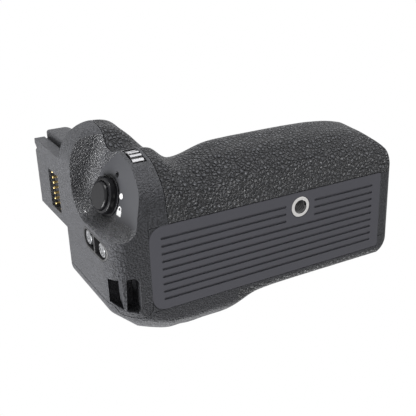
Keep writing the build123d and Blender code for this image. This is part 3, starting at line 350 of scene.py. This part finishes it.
@kept
def dish_wall_finish():
    """Scooped walls round the release button: the shell's plastic, shinier, with its grain."""
    paint = Paint("dish_wall")
    own = looks()
    grain = paint.steps(paint.noise(own.grain_size * 0.9, 2.0), (0.36, 0.0), (0.64, 1.0))
    clouds = paint.noise(0.015, 2.0)
    colour = paint.mix(shade(own.shell_colour, 0.55), shade(own.shell_colour, 0.75), clouds)
    # Partly painted highlight: the light tone of the grain is brighter here than on the shell.
    colour = paint.mix(colour, shade(own.shell_colour, 2.6), grain * 0.5)
    roughness = 0.24 + grain * 0.16
    normal = paint.bump(grain, own.grain_depth * 1.5, 0.9, own.edge_round)
    return paint.finish(colour, roughness, normal, Specular_IOR_Level=sheen["dish_wall"])


@kept
def dish_floor_finish():
    """Flat floor of the release dish, satin and nearly without grain."""
    paint = Paint("dish_floor")
    own = looks()
    grain = paint.noise(0.0004, 1.0)
    clouds = paint.noise(0.02, 2.0)
    colour = paint.mix(shade(own.shell_colour, 1.05), shade(own.shell_colour, 1.2), clouds)
    normal = paint.bump(grain, 0.00002, 0.4)
    return paint.finish(colour, 0.36 + grain * 0.1, normal, Specular_IOR_Level=sheen["dish_floor"])


@kept
def plate_finish():
    """Base plate: satin plastic with a very fine grain."""
    paint = Paint("base_plate_satin")
    own = looks()
    grain = paint.noise(0.00035, 1.0)
    clouds = paint.noise(0.03, 2.0)
    colour = paint.mix(shade(own.plate_colour, 0.95), shade(own.plate_colour, 1.06), clouds)
    # Painted shade: the plate is darkened along its edges, standing for the shade in its seam and grooves.
    colour = paint.mix(colour, shade(own.plate_colour, 0.12), paint.edges(0.0005) * 0.85)
    roughness = 0.44 + grain * 0.12
    normal = paint.bump(grain, 0.00004, 0.4, 0.0003)
    return paint.finish(colour, roughness, normal, Specular_IOR_Level=sheen["plate"])


@kept
def rubber_finish():
    """Pebbled skin: small domes of uneven height with dark grooves between them."""
    paint = Paint("pebbled_rubber")
    own = looks()
    place = paint.warped(own.pebble_size * 1.3, own.pebble_size * 0.9)
    sockets = {"Vector": place, "Scale": 1 / own.pebble_size, "Randomness": 1.0}
    groove = paint.node("TexVoronoi", {"feature": "DISTANCE_TO_EDGE"}, sockets, "Distance")
    middle = paint.node("TexVoronoi", {"feature": "F1"}, sockets, "Distance")
    cell = paint.node("TexVoronoi", {"feature": "F1"}, sockets, "Color")
    tone = paint.node("SeparateColor", {}, {"Color": cell}, "Red")
    pebble = paint.steps(groove, (0.0, 0.0), (0.14, 0.5), (0.34, 1.0))
    speck_and_glint = paint.noise(0.0006, 2.0)
    height = pebble * (0.5 + tone * 0.5) + (1 - middle) * 0.9 + speck_and_glint * 0.25
    # Painted light and shade: pebble tops lighter and grooves darker; the tone of each pebble is the rubber's
    # own.
    light = pebble * (0.5 + tone * 0.5)
    colour = paint.mix(shade(own.rubber_colour, 0.2), shade(own.rubber_colour, 2.1), light)
    # Painted glints: fine specks lightened on the lit pebble tops.
    colour = paint.mix(colour, shade(own.rubber_colour, 3.6), speck_and_glint * light * 0.4)
    roughness = 0.52 - pebble * 0.20 + tone * 0.08
    normal = paint.bump(height, own.pebble_depth, 1.0, own.edge_round)
    return paint.finish(colour, roughness, normal, Specular_IOR_Level=sheen["rubber"])


@kept
def dial_finish():
    """Dial rubber: dark, with a fine mould texture."""
    paint = Paint("dial_rubber")
    grain = paint.noise(0.0004, 2.0)
    colour = paint.mix((0.008, 0.008, 0.009), (0.018, 0.018, 0.019), grain)
    # Painted highlight: lighter along the convex edges.
    colour = paint.mix(colour, (0.09, 0.09, 0.095), paint.edges(0.0004) * 0.5)
    normal = paint.bump(grain, 0.00005, 0.5, 0.0003)
    return paint.finish(colour, 0.5 + grain * 0.14, normal, Specular_IOR_Level=sheen["dial"])


@kept
def tooth_finish():
    """Tips of the dial teeth, rubbed pale by the thumb."""
    paint = Paint("painted_highlight_teeth")
    grain = paint.noise(0.0006, 3.0)
    # Painted highlight: the tooth tips are made pale where light catches them.
    colour = paint.mix((0.26, 0.26, 0.27), (0.58, 0.58, 0.60), grain)
    return paint.finish(colour, 0.34 + grain * 0.16, paint.bump(grain, 0.00008, 0.7, 0.0003))


@kept
def soft_finish():
    """Plain soft rubber of the seal and the camera pad."""
    paint = Paint("soft_rubber")
    grain = paint.noise(0.0007, 3.0)
    colour = paint.mix((0.016, 0.016, 0.017), (0.030, 0.030, 0.031), grain)
    normal = paint.bump(grain, 0.00006, 0.6, 0.0003)
    return paint.finish(colour, 0.62 + grain * 0.2, normal, Specular_IOR_Level=sheen["soft"])


@kept
def inner_finish():
    """Unpolished black plastic of the hidden mouldings."""
    paint = Paint("inner_plastic")
    grain = paint.noise(0.0009, 2.0)
    flow = paint.noise(0.014, 2.0)
    colour = paint.mix((0.011, 0.011, 0.012), (0.024, 0.024, 0.026), flow)
    return paint.finish(colour, 0.5 + grain * 0.14, paint.bump(grain, 0.00004, 0.5, 0.00025))


@kept
def gloss_finish():
    """Polished black of the release button, its ring and the sides of the function buttons."""
    paint = Paint("polished_black")
    own = looks()
    haze = paint.noise(0.004, 3.0)
    scuff = paint.steps(paint.noise(0.0012, 4.0), (0.52, 0.0), (0.62, 1.0))
    colour = paint.mix(own.gloss_colour, shade(own.gloss_colour, 2.2), haze * 0.6)
    # Painted highlight: lighter along the convex edges.
    colour = paint.mix(colour, (0.16, 0.16, 0.17), paint.edges(0.0004) * 0.6)
    roughness = 0.16 + haze * 0.08 + scuff * 0.05
    normal = paint.bump(haze, 0.00002, 0.3, 0.0003)
    return paint.finish(colour, roughness, normal, Specular_IOR_Level=sheen["gloss"])


@kept
def metal_finish(name, colour, rough, size):
    """Turned or cast metal: tone and roughness wander over it."""
    paint = Paint(name)
    fine = paint.noise(size, 3.0)
    broad = paint.noise(size * 9, 2.0)
    tone = paint.mix(shade(colour, 0.72), shade(colour, 1.12), fine)
    tone = paint.mix(tone, shade(colour, 0.85), broad * 0.5)
    roughness = rough + fine * 0.14
    return paint.finish(tone, roughness, paint.bump(fine, 0.00004, 0.5, 0.0002), metallic=1.0)


def steel():
    """Turned steel."""
    return metal_finish("turned_steel", (0.62, 0.61, 0.60), 0.22, 0.0006)


def thread_steel():
    """Turned steel in the shade of the bore."""
    return metal_finish("thread_steel", (0.09, 0.09, 0.09), 0.3, 0.0006)


def dark_steel():
    """Blackened steel inside the tripod socket."""
    return metal_finish("blackened_steel", (0.03, 0.03, 0.03), 0.35, 0.0006)


def brass():
    """Turned brass."""
    return metal_finish("turned_brass", (0.70, 0.53, 0.26), 0.28, 0.0006)


def gold():
    """Plated contact metal."""
    return metal_finish("gold_plate", (0.86, 0.66, 0.28), 0.2, 0.0004)


@kept
def silver_finish():
    """Frosted silver of the caps on the two function buttons."""
    paint = Paint("frosted_silver")
    frost = paint.noise(0.0007, 3.0)
    spot = paint.steps(frost, (0.40, 0.0), (0.6, 1.0))
    colour = paint.mix((0.035, 0.037, 0.04), (0.32, 0.325, 0.335), spot)
    return paint.finish(colour, 0.36 + frost * 0.2, paint.bump(frost, 0.00012, 0.8, 0.0003), metallic=0.7)


@kept
def paint_finish():
    """Fine black paint on the plate under the camera."""
    paint = Paint("fine_black_paint")
    fleck = paint.noise(0.00045, 3.0)
    colour = paint.mix((0.022, 0.022, 0.024), (0.040, 0.040, 0.043), fleck)
    # Painted highlight: lighter along the convex edges.
    colour = paint.mix(colour, (0.20, 0.20, 0.20), paint.edges(0.0003) * 0.3)
    return paint.finish(colour, 0.42 + fleck * 0.15, paint.bump(fleck, 0.00005, 0.6, 0.0003))


@kept
def board_finish():
    """Green board: traces of two tones under the lacquer."""
    paint = Paint("green_board")
    place = paint.node("Mapping", {}, {"Vector": paint.place, "Scale": (260, 420, 260)})
    sockets = {
        "Vector": place, "Scale": 1.0, "Mortar Size": 0.12, "Color1": white, "Color2": (0.6, 0.6, 0.6, 1),
        "Mortar": (0, 0, 0, 1),
    }
    trace = paint.node("TexBrick", {}, sockets, "Fac")
    colour = paint.mix((0.008, 0.075, 0.035), (0.02, 0.16, 0.075), trace)
    return paint.finish(colour, 0.32 + trace * 0.1, paint.bump(trace, 0.00004, 0.5))


@kept
def ribbon_finish():
    """Amber film with its copper tracks."""
    paint = Paint("amber_film")
    sockets = {"Vector": paint.place, "Scale": 320.0, "Distortion": 0.0}
    track = paint.node("TexWave", {"bands_direction": "Y"}, sockets, "Fac")
    colour = paint.mix((0.30, 0.13, 0.03), (0.55, 0.27, 0.07), track)
    return paint.finish(colour, 0.25 + track * 0.1, paint.bump(track, 0.00003, 0.5))


@kept
def mark_finish():
    """White printed marks."""
    paint = Paint("printed_mark")
    own = looks()
    patch = paint.noise(0.0006, 2.0)
    colour = paint.mix(own.mark_colour, shade(own.mark_colour, 0.85), patch)
    return paint.finish(colour, 0.5 + patch * 0.1, paint.bump(patch, 0.00001, 0.3))


finish_of_slot = {
    "shell": shell_finish, "plate": plate_finish, "rubber": rubber_finish, "soft_rubber": soft_finish,
    "rubber_dial": dial_finish, "black_plastic": inner_finish, "gloss": gloss_finish,
    "button_metal": silver_finish, "metal_plate": paint_finish, "steel": steel, "brass": brass, "gold": gold,
    "board": board_finish, "ribbon": ribbon_finish,
}


def body_of(node):
    """The moving group that a solid belongs to."""
    return next(body for body, members in bodies.items() if node in members)


def add_piece(name, shape, body, slot, *finishes):
    """Turn finished geometry into a piece of the grip."""
    mesh = bpy.data.meshes.new(name)
    shape.to_mesh(mesh)
    shape.free()
    for material in finishes:
        mesh.materials.append(material)
    piece = bpy.data.objects.new(name, mesh)
    bpy.context.scene.collection.objects.link(piece)
    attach(piece, body)
    return piece


def dress(*nodes):
    """Give solids their finishes."""
    for node in nodes:
        materials = frame["nodes"][node].data.materials
        materials.clear()
        materials.append(finish_of_slot[slots[node]]())


def smoothed(node, *extras, choose=None, cuts=()):
    """Stand a merged, smooth-shaded copy in for a solid, with more finishes where they are chosen."""
    shape = bmesh.new()
    shape.from_mesh(frame["nodes"][node].data)
    bmesh.ops.remove_doubles(shape, verts=shape.verts, dist=merge_reach)
    for place, way in cuts:
        everything = shape.verts[:] + shape.edges[:] + shape.faces[:]
        bmesh.ops.bisect_plane(shape, geom=everything, plane_co=place, plane_no=way, dist=cut_reach)
    crease = looks().crease
    for face in shape.faces:
        face.smooth = True
        face.material_index = choose(face) if choose else 0
    for edge in shape.edges:
        edge.smooth = len(edge.link_faces) == 2 and edge.calc_face_angle() < crease
    piece = add_piece(
        node + "_dressed", shape, body_of(node), slots[node], finish_of_slot[slots[node]](), *extras)
    steady = piece.modifiers.new("steady_normals", "WEIGHTED_NORMAL")
    steady.keep_sharp = True
    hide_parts(node)
    return piece


def dish_part(face):
    """One on the scooped walls of the release dish, two on its flat floor."""
    reach = face.calc_center_median() - dish_base
    height = reach.dot(dish_out)
    across = reach - dish_out * height
    facing = face.normal.dot(dish_out)
    if across.length > dish_reach or not dish_lowest < height < dish_highest:
        return 0
    if facing > 0.995 and abs(height) < floor_reach:
        return 2
    if facing > 0.9:
        return 1 if height < dish_step else 0
    return 1 if facing > -0.1 and face.normal.dot(across) < 0 else 0


def lip_part(face):
    """One on the pebbled skin of the lip, beside the release dish."""
    spot = face.calc_center_median() / mm
    on_lip = lip_start < spot.x < lip_end and spot.y < lip_front and spot.z > lip_foot
    return 1 if on_lip and face.normal.y < -0.2 else 0


def socket_part(face):
    """One inside the bore of the tripod socket."""
    spot = face.calc_center_median() / mm
    return 1 if spot.z > bore_start and spot.xy.length < bore_edge else 0


def teeth_of(place, axis, radius):
    """Chooser of the tooth tips of a wheel."""
    def choose(face):
        reach = face.calc_center_median() / mm - Vector(place)
        reach[axis] = 0
        return 1 if reach.length > radius - tooth_reach and abs(face.normal[axis]) < 0.5 else 0
    return choose


def place_on_dish(shape, side, up, lift):
    """Move flat geometry from the origin to a spot on the dish floor."""
    turn = Matrix((dish_side, dish_up, dish_out)).transposed().to_4x4()
    spot = dish_base + dish_side * side * mm + dish_up * up * mm + dish_out * lift * mm
    bmesh.ops.transform(shape, matrix=Matrix.Translation(spot) @ turn, verts=shape.verts)


def thicken(shape, depth):
    """Raise flat faces to a thin solid."""
    raised = bmesh.ops.extrude_face_region(shape, geom=shape.faces[:])["geom"]
    tops = [part for part in raised if isinstance(part, bmesh.types.BMVert)]
    bmesh.ops.translate(shape, vec=(0, 0, depth), verts=tops)
    bmesh.ops.recalc_face_normals(shape, faces=shape.faces)


class GRIP_OT_shells(bpy.types.Operator):
    """Finish the control end, the main and rear shells and the tray cover"""

    bl_idname = "grip.shells"
    bl_label = "Shells"

    def execute(self, context):
        smoothed("end_housing", dish_wall_finish(), dish_floor_finish(), choose=dish_part)
        cut = (Vector((lip_end, 0, 0)) * mm, Vector((1, 0, 0)))
        smoothed("main_shell", rubber_finish(), choose=lip_part, cuts=(cut,))
        for node in ("rear_shell", "tray_cover"):
            smoothed(node)
        return {"FINISHED"}


class GRIP_OT_skins(bpy.types.Operator):
    """Finish the pebbled grip skins"""

    bl_idname = "grip.skins"
    bl_label = "Rubber skins"

    def execute(self, context):
        for node in ("grip_rubber", "rear_rubber"):
            smoothed(node)
        return {"FINISHED"}


class GRIP_OT_base(bpy.types.Operator):
    """Finish the ribbed base plate and cut the thread of the tripod socket"""

    bl_idname = "grip.base"
    bl_label = "Base plate and socket"

    def execute(self, context):
        smoothed("base_plate")
        smoothed("tripod_socket", dark_steel(), choose=socket_part)
        own = context.scene.grip_looks
        half = own.thread_pitch * crest_share
        crest = thread_radius - thread_depth
        tip = half * root_share
        corners = ((thread_radius, -half), (crest, -tip), (crest, tip), (thread_radius, half))
        shape = bmesh.new()
        ridge = [shape.verts.new((x, 0, z + own.thread_pitch * first_turn)) for x, z in corners]
        profile = [shape.edges.new(pair) for pair in zip(ridge, ridge[1:])]
        steps = turn_steps * own.thread_turns
        rise = own.thread_pitch * own.thread_turns / steps
        bmesh.ops.spin(
            shape, geom=ridge + profile, cent=(0, 0, 0), axis=(0, 0, 1), dvec=(0, 0, rise),
            angle=2 * math.pi * own.thread_turns, steps=steps)
        bmesh.ops.recalc_face_normals(shape, faces=shape.faces)
        for face in shape.faces:
            face.smooth = True
            if face.normal.dot(face.calc_center_median() * Vector((1, 1, 0))) > 0:
                face.normal_flip()
        for edge in shape.edges:
            edge.smooth = len(edge.link_faces) == 2 and edge.calc_face_angle() < sharp
        add_piece("socket_thread", shape, "grip", "steel", thread_steel())
        return {"FINISHED"}


class GRIP_OT_release(bpy.types.Operator):
    """Finish the release button with its ring, and print its dot and lock mark"""

    bl_idname = "grip.release"
    bl_label = "Release button"

    def execute(self, context):
        own = context.scene.grip_looks
        for node in ("release_barrel", "release_lock_ring", "release_button"):
            smoothed(node)
        dress("release_switch")
        dot = bmesh.new()
        bmesh.ops.create_circle(dot, cap_ends=True, segments=32, radius=own.dot_radius)
        thicken(dot, mark_depth * mm)
        place_on_dish(dot, *dot_place, mark_lift)
        add_piece("printed_dot", dot, "grip", "button_metal", mark_finish())
        lock = bmesh.new()
        bmesh.ops.create_grid(lock, x_segments=1, y_segments=1, size=0.5 * mm)
        bmesh.ops.scale(lock, vec=(lock_width, lock_height, 1), verts=lock.verts)
        rise = bow_rise * mm
        bow = [lock.verts.new((x * mm, rise, 0)) for x in (bow_inner, bow_outer)]
        foot = lock.edges.new(bow)
        bmesh.ops.spin(
            lock, geom=[*bow, foot], cent=(0, rise, 0), axis=(0, 0, 1), angle=math.pi, steps=bow_steps)
        near = 0.01 * mm
        feet = [edge for edge in lock.edges if all(abs(vert.co.y - rise) < near for vert in edge.verts)]
        legs = bmesh.ops.extrude_edge_only(lock, edges=feet)["geom"]
        ends = [part for part in legs if isinstance(part, bmesh.types.BMVert)]
        bmesh.ops.translate(lock, vec=(0, -bow_leg * mm, 0), verts=ends)
        bmesh.ops.rotate(lock, cent=(0, 0, 0), matrix=Matrix.Rotation(-math.pi / 2, 3, "Z"), verts=lock.verts)
        thicken(lock, mark_depth * mm)
        place_on_dish(lock, *lock_place, mark_lift)
        add_piece("printed_lock_mark", lock, "grip", "button_metal", mark_finish())
        return {"FINISHED"}


class GRIP_OT_buttons(bpy.types.Operator):
    """Finish the function buttons in their insert, and the focus button"""

    bl_idname = "grip.buttons"
    bl_label = "Function and focus buttons"

    def execute(self, context):
        for node in ("button_insert", "focus_button"):
            smoothed(node)
        dress("button_board", "focus_board")
        for node in ("upper_function_button", "lower_function_button"):
            smoothed(node, gloss_finish(), choose=lambda face: 1)
            self.cap(node)
        return {"FINISHED"}

    def cap(self, node):
        """Dimpled silver cap on the face of a function button."""
        points = [vert.co for vert in frame["nodes"][node].data.vertices]
        face_x = min(point.x for point in points)
        rim = [point for point in points if point.x < face_x + button_face]
        middle = [(min(p[axis] for p in rim) + max(p[axis] for p in rim)) / 2 for axis in (1, 2)]
        shape = bmesh.new()
        bmesh.ops.create_circle(shape, cap_ends=True, segments=64, radius=cap_radius)
        thicken(shape, cap_height)
        top = [face for face in shape.faces if face.calc_center_median().z > cap_height * 0.9]
        rounded = [edge for face in top for edge in face.edges]
        bmesh.ops.bevel(
            shape, geom=rounded, offset=cap_round, segments=3, profile=0.5, affect="EDGES", material=-1)
        top = [face for face in shape.faces if face.calc_center_median().z > cap_height * 0.99]
        bmesh.ops.inset_region(shape, faces=top, thickness=cap_border, depth=0)
        top = max(shape.faces, key=lambda face: (round(face.calc_center_median().z, 6), face.calc_area()))
        bmesh.ops.inset_region(shape, faces=[top], thickness=dimple_border, depth=-dimple_depth)
        turn = Matrix.Rotation(-math.pi / 2, 4, "Y")
        spot = Matrix.Translation((face_x + cap_sink, *middle))
        bmesh.ops.transform(shape, matrix=spot @ turn, verts=shape.verts)
        for face in shape.faces:
            face.smooth = True
        for edge in shape.edges:
            edge.smooth = len(edge.link_faces) == 2 and edge.calc_face_angle() < sharp
        add_piece(node + "_cap", shape, body_of(node), "button_metal", silver_finish())


class GRIP_OT_dials(bpy.types.Operator):
    """Finish the front and rear dials and the thumbwheel"""

    bl_idname = "grip.dials"
    bl_label = "Dials"

    def execute(self, context):
        for node, centre, axis, radius in wheels:
            smoothed(node, tooth_finish(), choose=teeth_of(centre, axis, radius))
        dress("front_dial_axle", "rear_dial_axle")
        return {"FINISHED"}


class GRIP_OT_tower(bpy.types.Operator):
    """Finish the contact tower and its spring pins"""

    bl_idname = "grip.tower"
    bl_label = "Contact tower"

    def execute(self, context):
        for node in ("tower_housing", "contact_block", "contact_pins"):
            smoothed(node)
        dress("tower_screws", "flex_ribbon")
        return {"FINISHED"}


class GRIP_OT_camera_face(bpy.types.Operator):
    """Finish the plate under the camera, its pad, stud and pins"""

    bl_idname = "grip.camera_face"
    bl_label = "Camera face"

    def execute(self, context):
        for node in ("top_plate", "mating_pad", "stud_bush"):
            smoothed(node)
        for node in ("mounting_stud", "locating_pins", "top_plate_screws"):
            smoothed(node)
        return {"FINISHED"}


class GRIP_OT_tray(bpy.types.Operator):
    """Finish the battery tray with its latch, seal and contacts"""

    bl_idname = "grip.tray"
    bl_label = "Battery tray"

    def execute(self, context):
        smoothed("latch_knob")
        dress("battery_tray", "tray_gasket", "tray_terminals", "latch_cam")
        return {"FINISHED"}


class GRIP_OT_inside(bpy.types.Operator):
    """Finish the chamber, the boards and the screws inside"""

    bl_idname = "grip.inside"
    bl_label = "Inside"

    def execute(self, context):
        dress("battery_chamber", "chamber_contacts", "main_board", "floor_screws")
        return {"FINISHED"}


class GRIP_OT_studio(bpy.types.Operator):
    """Set up the floor, the lamps, the white surround and the photograph's camera"""

    bl_idname = "grip.studio"
    bl_label = "Studio"

    def execute(self, context):
        scene = context.scene
        scene.view_settings.view_transform = "Standard"
        self.floor(scene)
        self.surround(scene)
        level = scene.grip_looks.lamp_level
        for name, (left, up, near), far, size, power in lamps:
            way = -eye_right * left + eye_up * up - eye_ahead * near
            self.lamp(scene, name, aim + way.normalized() * far, size, power * level)
        self.camera(scene)
        return {"FINISHED"}

    def floor(self, scene):
        """Pale floor, seen from above only and never in the way of the light."""
        shape = bmesh.new()
        bmesh.ops.create_grid(shape, x_segments=1, y_segments=1, size=floor_half)
        bmesh.ops.translate(shape, vec=(0, 0, cad_low.z - floor_drop), verts=shape.verts)
        mesh = bpy.data.meshes.new("floor")
        shape.to_mesh(mesh)
        shape.free()
        floor = bpy.data.objects.new("floor", mesh)
        scene.collection.objects.link(floor)
        paint = Paint("pale_floor")
        grain = paint.noise(0.01, 2.0)
        tone = paint.mix((0.80, 0.80, 0.80), (0.84, 0.84, 0.84), grain)
        pale = paint.node("BsdfDiffuse", {}, {"Color": tone})
        clear = paint.node("BsdfTransparent")
        under = paint.node("NewGeometry", output="Backfacing")
        paint.close(paint.node("MixShader", {}, {0: under, 1: pale, 2: clear}))
        mesh.materials.append(paint.material)
        floor.visible_diffuse = False
        floor.visible_glossy = False
        floor.visible_transmission = False
        floor.visible_shadow = False

    def surround(self, scene):
        """White to the camera and in reflections, a plain soft light to everything else."""
        world = bpy.data.worlds.new("surround")
        world.use_nodes = True
        scene.world = world
        tree = world.node_tree
        tree.nodes.clear()
        rays = tree.nodes.new("ShaderNodeLightPath")
        seen = tree.nodes.new("ShaderNodeMath")
        seen.operation = "MAXIMUM"
        tree.links.new(rays.outputs["Is Camera Ray"], seen.inputs[0])
        tree.links.new(rays.outputs["Is Glossy Ray"], seen.inputs[1])
        through = tree.nodes.new("ShaderNodeMath")
        through.operation = "MAXIMUM"
        tree.links.new(seen.outputs[0], through.inputs[0])
        tree.links.new(rays.outputs["Is Transmission Ray"], through.inputs[1])
        bright = tree.nodes.new("ShaderNodeBackground")
        bright.inputs["Color"].default_value = white
        soft = tree.nodes.new("ShaderNodeBackground")
        soft.inputs["Color"].default_value = white
        soft.inputs["Strength"].default_value = surround_level
        blend = tree.nodes.new("ShaderNodeMixShader")
        output = tree.nodes.new("ShaderNodeOutputWorld")
        tree.links.new(through.outputs[0], blend.inputs[0])
        tree.links.new(soft.outputs[0], blend.inputs[1])
        tree.links.new(bright.outputs[0], blend.inputs[2])
        tree.links.new(blend.outputs[0], output.inputs["Surface"])

    def lamp(self, scene, name, spot, size, power):
        """Square soft lamp that faces the grip."""
        data = bpy.data.lights.new(name, "AREA")
        data.size = size
        data.energy = power
        lamp = bpy.data.objects.new(name, data)
        lamp.location = spot
        lamp.rotation_euler = (spot - aim).to_track_quat("Z", "Y").to_euler()
        scene.collection.objects.link(lamp)

    def camera(self, scene):
        """Camera at the photograph's angle."""
        data = bpy.data.cameras.new("camera")
        data.lens = eye_lens
        data.sensor_width = eye_sensor
        data.clip_start = eye_nearest
        data.clip_end = eye_farthest
        camera = bpy.data.objects.new("camera", data)
        turn = Matrix((eye_right, eye_up, -eye_ahead)).transposed().to_4x4()
        camera.matrix_world = Matrix.Translation(eye) @ turn
        scene.collection.objects.link(camera)
        scene.camera = camera


class GRIP_PT_pieces(bpy.types.Panel):
    """Pieces and looks of the battery grip"""

    bl_label = "Battery Grip"
    bl_idname = "GRIP_PT_pieces"
    bl_space_type = "VIEW_3D"
    bl_region_type = "UI"
    bl_category = "Battery Grip"

    def draw(self, context):
        for name in GripLooks.__annotations__:
            self.layout.prop(context.scene.grip_looks, name)
        for operator in operators:
            self.layout.operator(operator.bl_idname)


operators = (
    GRIP_OT_studio, GRIP_OT_shells, GRIP_OT_skins, GRIP_OT_base, GRIP_OT_release, GRIP_OT_buttons,
    GRIP_OT_dials, GRIP_OT_tower, GRIP_OT_camera_face, GRIP_OT_tray, GRIP_OT_inside,
)


def register():
    """Add the looks, the operators and the panel."""
    for each in (GripLooks, *operators, GRIP_PT_pieces):
        bpy.utils.register_class(each)
    bpy.types.Scene.grip_looks = PointerProperty(type=GripLooks)


def unregister():
    """Take them away again."""
    del bpy.types.Scene.grip_looks
    for each in (GRIP_PT_pieces, *reversed(operators), GripLooks):
        bpy.utils.unregister_class(each)


def main():
    """Make every piece and write the sizes."""
    register()
    bpy.ops.grip.studio()
    bpy.ops.grip.shells()
    bpy.ops.grip.skins()
    bpy.ops.grip.base()
    bpy.ops.grip.release()
    bpy.ops.grip.buttons()
    bpy.ops.grip.dials()
    bpy.ops.grip.tower()
    bpy.ops.grip.camera_face()
    bpy.ops.grip.tray()
    bpy.ops.grip.inside()


if __name__ == "__main__":
    main()
